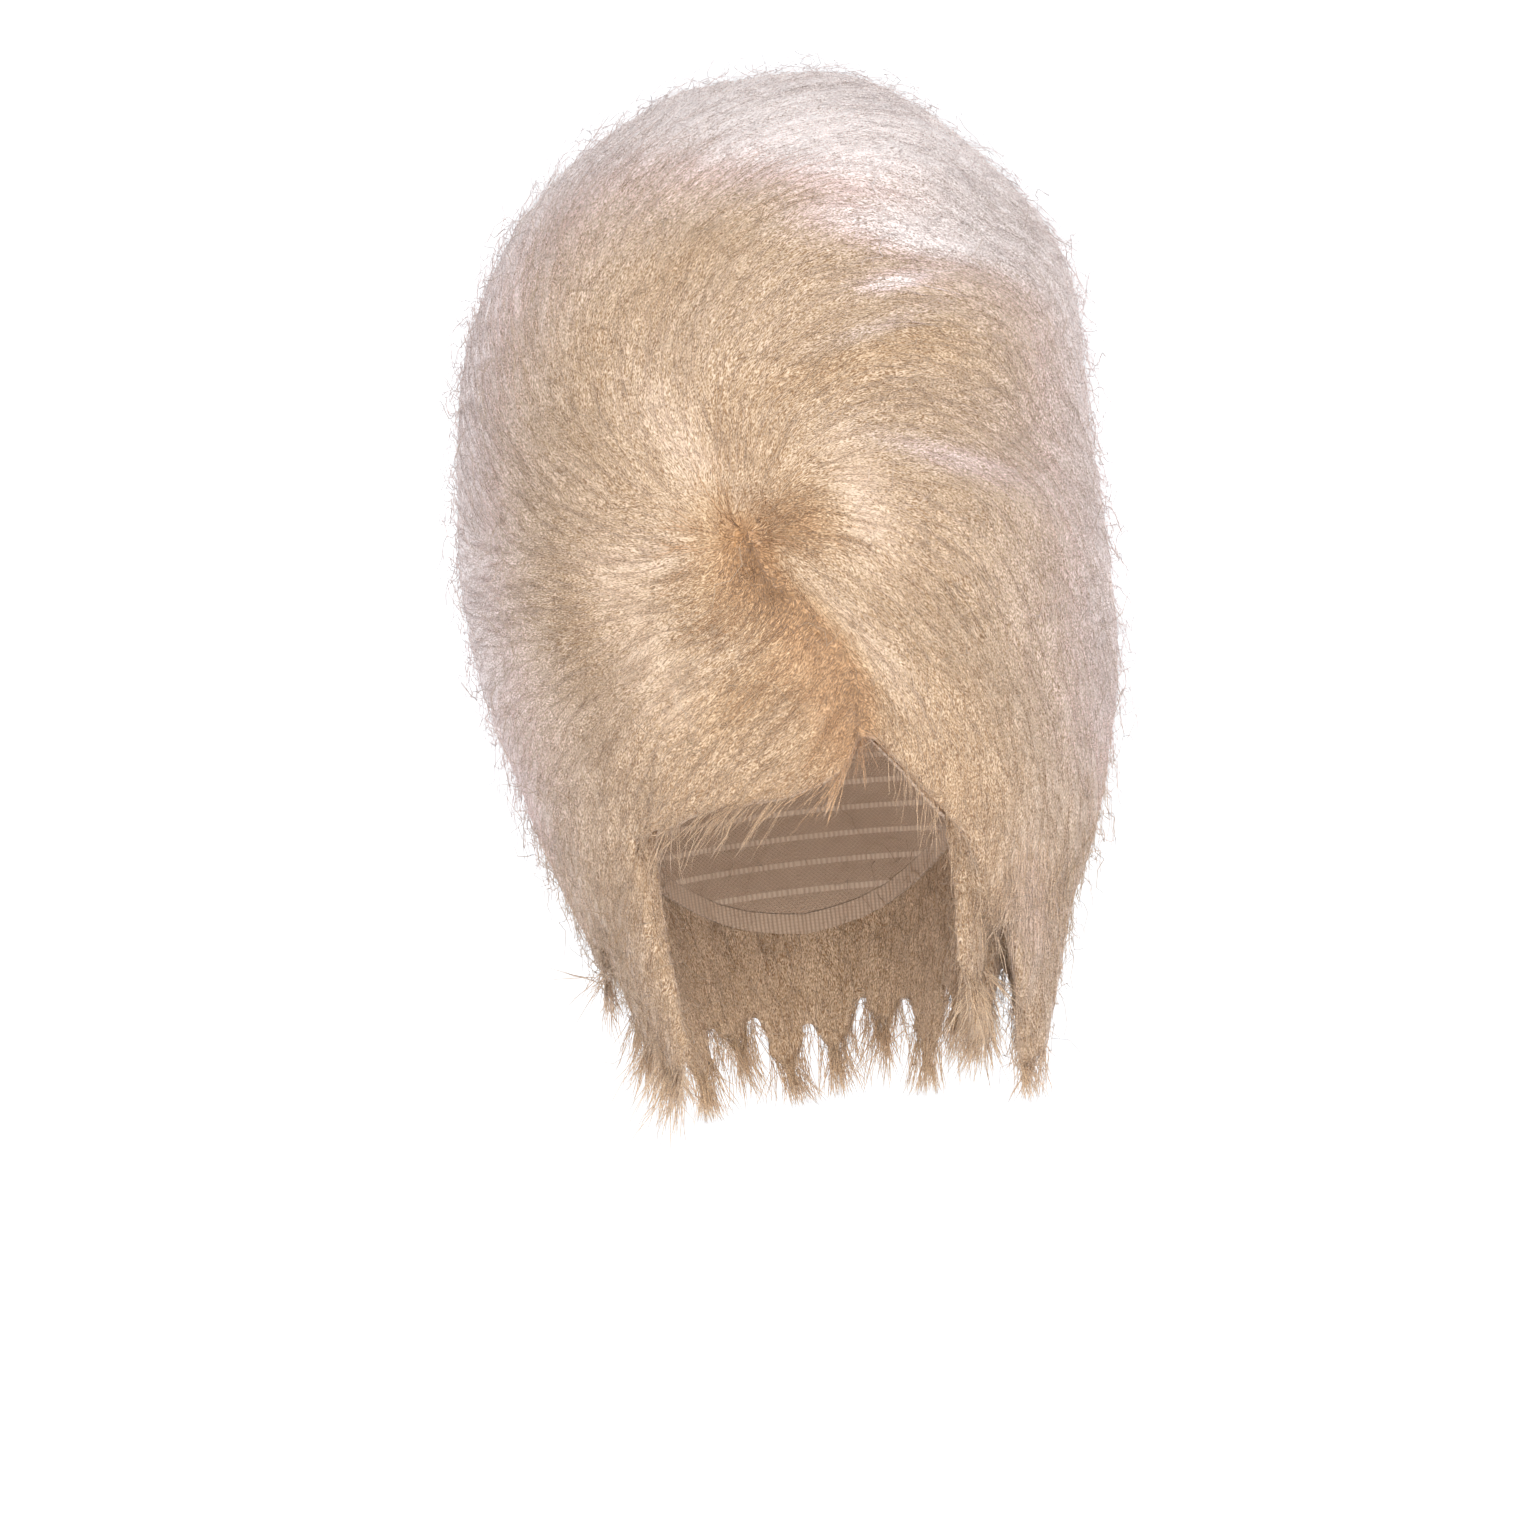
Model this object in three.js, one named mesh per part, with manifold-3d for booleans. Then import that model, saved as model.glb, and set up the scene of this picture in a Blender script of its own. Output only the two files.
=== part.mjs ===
// A tall beehive wig: a net cap with an elastic edge, a teased beehive over it, a swept fringe,
// a lock in front of each ear and a fall of locks at the nape.
//
// Millimetres, +Z up. The face looks along -Y, and +X is the wearer's left.
// The origin is the spot where the crown of the head touches the inside of the cap.

import * as THREE from "three";
import Module from "manifold-3d";
import { mergeVertices } from "three/addons/utils/BufferGeometryUtils.js";

const wasm = await Module();
wasm.setup();

// The head that the cap fits
const headWidth = 152;
const headDepth = 192;
const domeHeight = 100; // from the crown down to the widest level of the head
const neckTaper = 0.1; // how much the head narrows one dome height below that level

// The cap and its elastic edge
const capWall = 2;
const bandHeight = 9;
const capDrop = 150; // from the crown down to the cap's edge at the nape

// The hair
const fitGap = 0.3; // between pieces that lie against each other
const hairRise = 230; // top of the beehive over the crown of the head
const hairDrop = 150; // lower edge of the beehive under the crown of the head
const loftLeft = 72; // how far the beehive stands out from the head, on the wearer's left
const loftRight = 53;
const loftFront = 25;
const loftBack = 61;
const topLeanX = 30; // where the top of the beehive lies, seen from the crown of the head
const topLeanY = 14;
const faceDrop = 100; // from the crown down to the middle of the opening for the face
const lockThickness = 13; // side locks and nape hair
const lockTop = 84; // from the crown down to where those locks start
const lockDrop = 211; // and down to the tip of the longest of them
const notchDepth = 13; // how far the gaps between the tips run up

// Mesh steps
const facetSlack = 0.7; // how far a flat facet may cut inside the round shape that it stands for
const roomColumns = 48;
const roomRows = 14;
const capColumns = 36;
const capRows = 9;
const bandRows = 2;
const crownColumns = 72;
const crownSteps = 2; // rings between two rows of the section table
const columnsPerLock = 6;
const lockRows = 6;
const sweepSteps = 10;
const partingSteps = 12;
const fringeSteps = 8;
const faceSteps = 40;
const weldWithin = 1e-3;
const sharpestMitre = 0.2; // keeps a pointed corner of an outline from running far out

// The beehive's sections. height: share of hairRise over the crown, or of hairDrop under it.
// head: share of the head's half width or depth that the section keeps.
// left, right, front and back: share of each loft that it stands out by.
// lean: share of the top's lean.
const sections = [
  { height: 1.0, head: 0.0, left: 0.0, right: 0.0, front: 0.0, back: 0.0, lean: 1.0 },
  { height: 0.99, head: 0.18, left: 0.2, right: 0.48, front: 0.28, back: 0.2, lean: 0.96 },
  { height: 0.963, head: 0.3, left: 0.32, right: 0.54, front: 0.45, back: 0.36, lean: 0.86 },
  { height: 0.92, head: 0.45, left: 0.44, right: 0.6, front: 0.6, back: 0.54, lean: 0.72 },
  { height: 0.86, head: 0.6, left: 0.55, right: 0.7, front: 0.74, back: 0.69, lean: 0.55 },
  { height: 0.78, head: 0.75, left: 0.68, right: 0.77, front: 0.84, back: 0.81, lean: 0.4 },
  { height: 0.67, head: 0.88, left: 0.86, right: 0.83, front: 0.93, back: 0.9, lean: 0.26 },
  { height: 0.54, head: 0.96, left: 0.97, right: 0.9, front: 1.0, back: 0.96, lean: 0.16 },
  { height: 0.4, head: 1.0, left: 0.97, right: 0.92, front: 1.04, back: 1.0, lean: 0.08 },
  { height: 0.25, head: 1.0, left: 0.975, right: 0.97, front: 1.08, back: 1.02, lean: 0.04 },
  { height: 0.1, head: 1.0, left: 1.0, right: 1.0, front: 1.06, back: 1.0, lean: 0.0 },
  { height: -0.08, head: 1.0, left: 0.99, right: 0.955, front: 1.0, back: 0.96, lean: 0.0 },
  { height: -0.27, head: 1.0, left: 0.965, right: 0.87, front: 0.8, back: 0.88, lean: 0.0 },
  { height: -0.43, head: 1.0, left: 0.91, right: 0.75, front: 0.48, back: 0.78, lean: 0.0 },
  { height: -0.58, head: 1.0, left: 0.84, right: 0.64, front: 0.18, back: 0.66, lean: 0.0 },
  { height: -0.74, head: 1.0, left: 0.75, right: 0.49, front: -0.25, back: 0.53, lean: 0.0 },
  { height: -0.87, head: 0.99, left: 0.58, right: 0.34, front: -0.7, back: 0.43, lean: 0.0 },
  { height: -0.96, head: 0.98, left: 0.42, right: 0.28, front: -1.0, back: 0.36, lean: 0.0 },
  { height: -1.0, head: 0.96, left: 0.28, right: 0.22, front: -1.1, back: 0.24, lean: 0.0 },
  { height: -1.0, head: 0.5, left: 0.0, right: 0.0, front: 0.0, back: 0.0, lean: 0.0 },
  { height: -1.0, head: 0.0, left: 0.0, right: 0.0, front: 0.0, back: 0.0, lean: 0.0 },
];

// Seen from the front. x: share of half the head's width. z: share of hairRise over the crown,
// or of faceDrop under it.
const whorl = { x: -0.04, z: 0.164 };
const partingPeak = { x: 0.43, z: -0.53 };

// The parting runs from the whorl to its peak on the forehead.
const parting = [
  { x: whorl.x, z: whorl.z },
  { x: 0.04, z: 0.07 },
  { x: 0.18, z: 0.0 },
  { x: 0.33, z: -0.16 },
  { x: 0.42, z: -0.34 },
  { x: partingPeak.x, z: partingPeak.z },
];

// Where the fringe parts from the hair over the temple, on the wearer's right, ending below the hair
const fringeTemple = [
  { x: -0.2, z: 0.04 },
  { x: -0.52, z: -0.2 },
  { x: -0.74, z: -0.55 },
  { x: -0.84, z: -1.0 },
  { x: -0.6, z: -1.1 },
];

// The edge of the opening for the face, from the wearer's right jaw over the forehead to the left
const faceEdge = [
  { x: -0.72, z: -2.3 },
  { x: -0.73, z: -1.75 },
  { x: -0.76, z: -1.33 },
  { x: -0.76, z: -1.08 },
  { x: -0.69, z: -0.88 },
  { x: -0.52, z: -0.79 },
  { x: -0.17, z: -0.77 },
  { x: 0.1, z: -0.74 },
  { x: 0.3, z: -0.67 },
  { x: partingPeak.x, z: partingPeak.z },
  { x: 0.55, z: -0.63 },
  { x: 0.7, z: -0.78 },
  { x: 0.82, z: -0.91 },
  { x: 0.93, z: -1.09 },
  { x: 0.98, z: -1.31 },
  { x: 0.98, z: -1.55 },
  { x: 0.95, z: -1.8 },
  { x: 0.93, z: -2.3 },
];

// Sweeps of hair that leave the whorl. from: the way that one starts, in degrees, 0 to the wearer's
// left and 90 up. turn: degrees that it curls on its way. reach: share of the beehive's width.
// spread: its half width, in shares of its reach. lift: its height, negative for a valley.
const sweepLift = 7;
const sweeps = [
  { from: 150, turn: -75, reach: 0.62, spread: 0.15, lift: 0.7 },
  { from: 128, turn: -95, reach: 0.66, spread: 0.12, lift: -0.7 },
  { from: 108, turn: -95, reach: 0.72, spread: 0.13, lift: 0.9 },
  { from: 84, turn: -80, reach: 0.66, spread: 0.11, lift: -0.9 },
  { from: 62, turn: -70, reach: 0.62, spread: 0.12, lift: 1.0 },
  { from: 38, turn: -60, reach: 0.55, spread: 0.11, lift: -0.8 },
  { from: 16, turn: -55, reach: 0.56, spread: 0.13, lift: 1.0 },
  { from: -14, turn: -40, reach: 0.5, spread: 0.1, lift: -0.5 },
  { from: -38, turn: -30, reach: 0.56, spread: 0.13, lift: 0.9 },
  { from: 182, turn: 20, reach: 0.45, spread: 0.14, lift: 0.6 },
  { from: 205, turn: 30, reach: 0.42, spread: 0.12, lift: -0.6 },
  { from: 226, turn: 24, reach: 0.4, spread: 0.14, lift: 0.7 },
];
const whorlDepth = 13;
const whorlSpread = 24;
const partingDepth = 9;
const partingSpread = 11;
const frontFrom = 0.15; // the relief starts where the beehive faces this far forward,
const frontFull = 0.75; // and is full where it faces this far

// Broad waves in the hair over the sides and the back, running down and round
const backWaves = 9;
const broadWaves = 4;
const backWaveLift = 1.25; // each of the two
const backWaveDrift = 5; // radians that a wave runs on over the beehive's rise

// The beehive's lower edge ends in points
const edgeTips = 18;
const edgeTipDrop = 13;
const edgeTipsFrom = -0.62; // the points start at this share of hairDrop
const evenTips = 0.75; // of their drop, and the rest varies from point to point
const tipVaries = 5; // times round

// Tails of that edge, which hang in front of the shoulders. azimuth and spread: degrees.
// drop: millimetres under the edge. tuck: how far the tip curls in.
const tails = [
  { azimuth: 88, spread: 13, drop: 54, tuck: 5 },
  { azimuth: 66, spread: 12, drop: 26, tuck: 3 },
  { azimuth: -84, spread: 15, drop: 26, tuck: 2 },
];
const tailFrom = -0.85; // share of hairDrop
const fullReliefHead = 0.77; // the relief fades over the top, where a section keeps less of the head

// Length of each lock at its tip, as a share of lockDrop, from one edge of the piece to the other
const lockTips = {
  side_lock_right: { from: -102, to: -48, tips: [0.8, 0.86, 0.91] },
  side_lock_left: { from: 54, to: 108, tips: [0.8, 0.86, 0.92] },
  nape_hair: { from: 109, to: 257, tips: [0.9, 0.98, 0.92, 0.97, 1.0, 0.93, 0.98, 0.89] },
};
const lockEdgeThins = 0.4; // share of its thickness that a lock loses at its sides, from none at its top
const lockTipThins = 0.85; // and at its tip,
const lockThinsFrom = 0.3; // starting this far down it
const notchCurve = 1.5; // how round the tips and their thinning are
const notchAt = 0.99; // from the middle of a lock to its side
const frontCutBack = -0.3 * (headDepth / 2); // the face's opening and the fringe reach back to here
const fringeFoot = -0.9; // under the forehead, in shares of faceDrop

const radians = THREE.MathUtils.degToRad;
const halfWidth = headWidth / 2;
const halfDepth = headDepth / 2;

// A smooth curve through evenly spaced values
function through(values, t) {
  const place = THREE.MathUtils.clamp(t, 0, 1) * (values.length - 1);
  const i = Math.min(Math.floor(place), values.length - 2);
  const f = place - i;
  const [a, b, c, d] = [i - 1, i, i + 1, i + 2].map(
    (k) => values[THREE.MathUtils.clamp(k, 0, values.length - 1)],
  );
  const slopeB = (c - a) / 2;
  const slopeC = (d - b) / 2;
  const bow = 3 * (c - b) - 2 * slopeB - slopeC;
  const twist = slopeB + slopeC - 2 * (c - b);
  return b + f * (slopeB + f * (bow + f * twist));
}

// A closed mesh from rows of points that run round, where the first and last rows are one point each
function closedSkin(rows) {
  const position = [];
  const index = [];
  const columns = rows[1].length;
  rows.forEach((row) => row.forEach((p) => position.push(p.x, p.y, p.z)));
  const start = (row) => (row === 0 ? 0 : 1 + (row - 1) * columns);
  const last = start(rows.length - 1);
  for (let j = 0; j < columns; j++) {
    const next = (j + 1) % columns;
    index.push(0, start(1) + j, start(1) + next);
    index.push(last, start(rows.length - 2) + next, start(rows.length - 2) + j);
    for (let i = 1; i < rows.length - 2; i++) {
      const [a, b] = [start(i) + j, start(i) + next];
      const [c, d] = [start(i + 1) + j, start(i + 1) + next];
      index.push(a, c, d, a, d, b);
    }
  }
  return meshOf(position, index);
}

// A closed slab between two grids of points, outer and inner, each a list of columns from top to
// bottom. It runs all the way round, or ends at its first and last column.
function closedSlab(outer, inner, runsRound) {
  const position = [];
  const index = [];
  const rows = outer[0].length;
  const columns = outer.length;
  [...outer, ...inner].forEach((column) => column.forEach((p) => position.push(p.x, p.y, p.z)));
  const out = (j, i) => (j % columns) * rows + i;
  const inn = (j, i) => (columns + (j % columns)) * rows + i;
  const quad = (a, b, c, d) => index.push(a, b, c, a, c, d);
  const last = runsRound ? columns : columns - 1;
  for (let j = 0; j < last; j++) {
    for (let i = 0; i < rows - 1; i++) {
      quad(out(j, i), out(j, i + 1), out(j + 1, i + 1), out(j + 1, i));
      quad(inn(j, i), inn(j + 1, i), inn(j + 1, i + 1), inn(j, i + 1));
    }
    quad(out(j, 0), out(j + 1, 0), inn(j + 1, 0), inn(j, 0));
    quad(out(j, rows - 1), inn(j, rows - 1), inn(j + 1, rows - 1), out(j + 1, rows - 1));
  }
  for (let i = 0; i < rows - 1 && !runsRound; i++) {
    quad(out(0, i), inn(0, i), inn(0, i + 1), out(0, i + 1));
    quad(out(last, i), out(last, i + 1), inn(last, i + 1), inn(last, i));
  }
  return meshOf(position, index);
}

function meshOf(position, index) {
  const geometry = new THREE.BufferGeometry();
  geometry.setAttribute("position", new THREE.Float32BufferAttribute(position, 3));
  geometry.setIndex(index);
  return geometry;
}

function solidOf(geometry) {
  const bare = geometry.clone();
  bare.deleteAttribute("normal");
  bare.deleteAttribute("uv");
  const merged = mergeVertices(bare, weldWithin);
  const mesh = new wasm.Mesh({
    numProp: 3,
    vertProperties: merged.attributes.position.array,
    triVerts: new Uint32Array(merged.index.array),
  });
  return new wasm.Manifold(mesh);
}

function geometryOf(solid) {
  const mesh = solid.getMesh();
  const geometry = new THREE.BufferGeometry();
  geometry.setAttribute("position", new THREE.BufferAttribute(mesh.vertProperties, 3));
  geometry.setIndex(new THREE.BufferAttribute(mesh.triVerts, 1));
  return geometry;
}

// How far under the crown a dome that stands off the head by an offset lies, at an angle from its top.
// Past a quarter turn the shape runs on down as a neck.
function depthAt(angle, offset) {
  const past = angle - Math.PI / 2;
  return past > 0 ? domeHeight * (1 + past) : (domeHeight + offset) * (1 - Math.cos(angle)) - offset;
}

function angleAt(depth, offset) {
  const past = depth / domeHeight - 1;
  return past > 0 ? Math.PI / 2 + past : Math.acos(1 - (depth + offset) / (domeHeight + offset));
}

// A point of the head's shape, grown by an offset. Azimuth 0 is the face, 90 the wearer's left.
function headPoint(azimuth, depth, offset) {
  const past = Math.max(depth / domeHeight - 1, 0);
  const narrow = Math.sin(Math.min(angleAt(depth, offset), Math.PI / 2)) - neckTaper * past * past;
  const grown = offset * Math.min(narrow + past, 1);
  return new THREE.Vector3(
    Math.sin(azimuth) * (halfWidth * narrow + grown),
    -Math.cos(azimuth) * (halfDepth * narrow + grown),
    -depth,
  );
}

function fullTurn(columns) {
  return Array.from({ length: columns }, (_, j) => (2 * Math.PI * j) / columns);
}

// The solid that the head's shape, grown by an offset, fills down to a depth
function headSolid(offset, depth) {
  const rows = [];
  for (let i = 0; i <= roomRows; i++) {
    const down = depthAt((angleAt(depth, offset) * i) / roomRows, offset);
    rows.push(fullTurn(roomColumns).map((azimuth) => headPoint(azimuth, down, offset)));
  }
  rows[0] = [new THREE.Vector3(0, 0, offset)];
  rows.push([new THREE.Vector3(0, 0, -depth)]);
  return solidOf(closedSkin(rows));
}

// How far down the cap's edge lies: high on the forehead, down at the temples, up over the ears
// and lowest at the nape. The values are shares of capDrop, evenly spaced from the face to the nape.
function capEdge(azimuth) {
  const shares = [0.3, 0.34, 0.6, 0.72, 0.68, 0.82, 0.95, 1.0];
  const round = Math.abs(Math.atan2(Math.sin(azimuth), Math.cos(azimuth)));
  return capDrop * through(shares, round / Math.PI);
}

// The cap: a thin dome down to the band
function wigCap() {
  const columns = fullTurn(capColumns);
  const row = (share, offset) =>
    columns.map((azimuth) => {
      const edge = capEdge(azimuth) - bandHeight - fitGap;
      return headPoint(azimuth, depthAt(share * angleAt(edge, offset), offset), offset);
    });
  const rows = [[new THREE.Vector3(0, 0, capWall)]];
  for (let i = 1; i <= capRows; i++) {
    rows.push(row(i / capRows, capWall));
  }
  for (let i = capRows; i >= 1; i--) {
    rows.push(row(i / capRows, 0));
  }
  rows.push([new THREE.Vector3(0, 0, 0)]);
  return closedSkin(rows);
}

// The elastic band on the cap's rim
function edgeBand() {
  const column = (azimuth, offset) => {
    const top = capEdge(azimuth) - bandHeight;
    return Array.from({ length: bandRows + 1 }, (_, i) =>
      headPoint(azimuth, top + (bandHeight * i) / bandRows, offset),
    );
  };
  const columns = fullTurn(capColumns);
  return closedSlab(
    columns.map((azimuth) => column(azimuth, capWall)),
    columns.map((azimuth) => column(azimuth, 0)),
    true,
  );
}

// Seen from the front, in millimetres
function frontPoint({ x, z }) {
  return new THREE.Vector2(x * halfWidth, z * (z > 0 ? hairRise : faceDrop));
}

function smoothLine(points, steps) {
  const curve = new THREE.SplineCurve(points.map(frontPoint));
  return curve.getPoints(steps);
}

function distanceTo(line, point) {
  const closest = new THREE.Vector2();
  let least = Infinity;
  for (let i = 0; i < line.length - 1; i++) {
    const along = line[i + 1].clone().sub(line[i]);
    const share = THREE.MathUtils.clamp(point.clone().sub(line[i]).dot(along) / along.lengthSq(), 0, 1);
    closest.copy(line[i]).addScaledVector(along, share);
    least = Math.min(least, closest.distanceTo(point));
  }
  return least;
}

// The line that a sweep of hair follows from the whorl, seen from the front
function sweepLine({ from, turn, reach }) {
  const length = reach * (headWidth + loftLeft + loftRight);
  const point = frontPoint(whorl);
  const line = [point.clone()];
  for (let i = 0; i < sweepSteps; i++) {
    const way = radians(from + (turn * (i + 0.5)) / sweepSteps);
    point.x += (Math.cos(way) * length) / sweepSteps;
    point.y += (Math.sin(way) * length) / sweepSteps;
    line.push(point.clone());
  }
  return { line, width: length };
}

const partingLine = smoothLine(parting, partingSteps);
const sweepLines = sweeps.map((sweep) => ({ ...sweep, ...sweepLine(sweep) }));

function bell(distance, spread) {
  return Math.exp(-((distance / spread) ** 2));
}

// How far the front of the beehive stands proud of its section, or sinks into it
function relief(x, z) {
  const point = new THREE.Vector2(x, z);
  const fromWhorl = point.distanceTo(frontPoint(whorl));
  let height = -whorlDepth * bell(fromWhorl, whorlSpread);
  height -= partingDepth * bell(distanceTo(partingLine, point), partingSpread);
  for (const { line, width, spread, lift } of sweepLines) {
    const near = 1 - bell(fromWhorl, whorlSpread);
    height += sweepLift * lift * near * bell(distanceTo(line, point), width * spread);
  }
  return height;
}

// How far the beehive's lower edge hangs at an azimuth, from 0 between two points to about 1 at a tip
function edgeTip(azimuth) {
  const turn = (azimuth * edgeTips) / (2 * Math.PI);
  const longer = evenTips + (1 - evenTips) * Math.sin(tipVaries * azimuth);
  return longer * Math.abs(Math.cos(Math.PI * turn));
}

// A point of the beehive's surface. t runs from 0 at its top to 1 at its foot.
function crownPoint(azimuth, t) {
  const at = (column) =>
    through(
      sections.map((section) => section[column]),
      t,
    );
  const share = at("height");
  const z = share * (share > 0 ? hairRise : hairDrop);
  const head = Math.max(at("head"), 0);
  const sine = Math.sin(azimuth);
  const cosine = Math.cos(azimuth);
  const sideLoft = sine > 0 ? loftLeft * at("left") : loftRight * at("right");
  const depthLoft = cosine > 0 ? loftFront * at("front") : loftBack * at("back");
  const x = sine * (halfWidth * head + sideLoft) + topLeanX * at("lean");
  const y = -cosine * (halfDepth * head + depthLoft) + topLeanY * at("lean");
  const facing = THREE.MathUtils.smoothstep(cosine, frontFrom, frontFull);
  const size = Math.min(head / fullReliefHead, 1);
  const wave = Math.cos(backWaves * azimuth + backWaveDrift * share) + Math.cos(broadWaves * azimuth - share);
  let out = (relief(x, z) * facing + backWaveLift * wave * (1 - facing)) * size;
  let hang = edgeTipDrop * edgeTip(azimuth) * THREE.MathUtils.smoothstep(-share, -edgeTipsFrom, 1);
  for (const tail of tails) {
    const turn = azimuth - radians(tail.azimuth);
    const away = Math.atan2(Math.sin(turn), Math.cos(turn));
    const full = bell(away, radians(tail.spread)) * THREE.MathUtils.smoothstep(-share, -tailFrom, 1);
    out -= tail.tuck * full;
    hang += tail.drop * full;
  }
  return new THREE.Vector3(x + sine * out, y - cosine * out, z - hang);
}

// The whole mass of the beehive, before the head, the face and the fringe are taken from it
function beehiveMass() {
  const count = (sections.length - 1) * crownSteps;
  const rows = [];
  for (let i = 0; i <= count; i++) {
    rows.push(fullTurn(crownColumns).map((azimuth) => crownPoint(azimuth, i / count)));
  }
  rows[0] = [rows[0][0]];
  rows[count] = [rows[count][0]];
  return solidOf(closedSkin(rows));
}

// A wall straight back from an outline seen from the front, from well before the face to a depth
function frontCutter(outline, backTo) {
  const reach = headDepth + loftFront;
  const shape = new THREE.Shape(outline);
  const geometry = new THREE.ExtrudeGeometry(shape, { depth: reach, bevelEnabled: false });
  geometry.rotateX(Math.PI / 2);
  geometry.translate(0, backTo, 0);
  return solidOf(geometry);
}

// An outline with each side moved out by an amount
function grown(outline, amount) {
  const turn = Math.sign(THREE.ShapeUtils.area(outline));
  const outwards = (from, to) => {
    const along = to.clone().sub(from).normalize();
    return new THREE.Vector2(along.y * turn, -along.x * turn);
  };
  return outline.map((point, i) => {
    const before = outwards(outline[(i - 1 + outline.length) % outline.length], point);
    const after = outwards(point, outline[(i + 1) % outline.length]);
    const mitre = amount / Math.max(1 + before.dot(after), sharpestMitre);
    return point.clone().addScaledVector(before.add(after), mitre);
  });
}

function faceOutline() {
  return smoothLine(faceEdge, faceSteps);
}

function fringeOutline() {
  const down = smoothLine(parting, fringeSteps);
  const up = smoothLine([...fringeTemple].reverse(), fringeSteps);
  const underForehead = frontPoint({ x: partingPeak.x, z: fringeFoot });
  return [...down, underForehead, ...up];
}

// A row of locks that hangs round the head from lockTop down to its tips
function lockFall({ from, to, tips }) {
  const columns = tips.length * columnsPerLock;
  const nearHead = capWall + fitGap + facetSlack / 2;
  const column = (j, isOuter) => {
    const azimuth = radians(from + ((to - from) * j) / columns);
    const lock = Math.min(Math.floor(j / columnsPerLock), tips.length - 1);
    const across = j / columnsPerLock - lock;
    const fromMiddle = Math.abs(2 * across - 1);
    const atNotch = fromMiddle > notchAt;
    const before = tips[Math.max(lock - (across < 0.5 ? 1 : 0), 0)];
    const tip = atNotch ? Math.min(tips[lock], before) : tips[lock];
    const bottom = lockDrop * tip - notchDepth * fromMiddle ** notchCurve;
    return Array.from({ length: lockRows + 1 }, (_, i) => {
      const down = i / lockRows;
      const rounded = 1 - lockEdgeThins * down * fromMiddle ** 2;
      const past = Math.max(down - lockThinsFrom, 0) / (1 - lockThinsFrom);
      const thin = 1 - lockTipThins * past ** notchCurve;
      const offset = nearHead + (isOuter ? lockThickness * rounded * thin : 0);
      return headPoint(azimuth, lockTop + (bottom - lockTop) * down, offset);
    });
  };
  const list = Array.from({ length: columns + 1 }, (_, j) => j);
  return closedSlab(
    list.map((j) => column(j, true)),
    list.map((j) => column(j, false)),
    false,
  );
}

// What the locks need under the beehive
function lockRoom() {
  const offset = capWall + 2 * fitGap + lockThickness + 1.5 * facetSlack;
  const whole = headSolid(offset, lockDrop + notchDepth);
  const size = 2 * (headDepth + lockDrop);
  const above = new THREE.BoxGeometry(size, size, size);
  above.translate(0, 0, size / 2 - lockTop + fitGap);
  return whole.subtract(solidOf(above));
}

function hairPieces() {
  const headRoom = headSolid(capWall + fitGap + facetSlack, lockDrop + notchDepth);
  const faceRoom = frontCutter(faceOutline(), frontCutBack);
  const hair = beehiveMass().subtract(headRoom).subtract(lockRoom()).subtract(faceRoom);
  const outline = fringeOutline();
  const fringe = hair.intersect(frontCutter(outline, frontCutBack));
  const crown = hair.subtract(frontCutter(grown(outline, fitGap), frontCutBack));
  return { crown, fringe };
}

function largestBody(solid) {
  return solid.decompose().reduce((a, b) => (b.volume() > a.volume() ? b : a));
}

const blonde = new THREE.MeshStandardMaterial({ color: 0xe6d3ae, roughness: 0.7, metalness: 0 });
const paleBlonde = new THREE.MeshStandardMaterial({ color: 0xeadcc0, roughness: 0.7, metalness: 0 });
const net = new THREE.MeshStandardMaterial({ color: 0xcdb083, roughness: 0.9, metalness: 0 });
const elastic = new THREE.MeshStandardMaterial({ color: 0xd8c19a, roughness: 0.8, metalness: 0 });

const wig = new THREE.Group();

function add(name, geometry, material) {
  const mesh = new THREE.Mesh(geometry, material);
  mesh.name = name;
  wig.add(mesh);
}

add("wig_cap", wigCap(), net);
add("edge_band", edgeBand(), elastic);

const { crown, fringe } = hairPieces();
add("crown_hair", geometryOf(largestBody(crown)), blonde);
add("fringe", geometryOf(largestBody(fringe)), paleBlonde);

for (const [name, fall] of Object.entries(lockTips)) {
  add(name, lockFall(fall), blonde);
}

export default wig;
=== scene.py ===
import math

import bmesh
import bpy
import numpy as np
from mathutils import Matrix, Vector, noise
from mathutils.bvhtree import BVHTree


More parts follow.
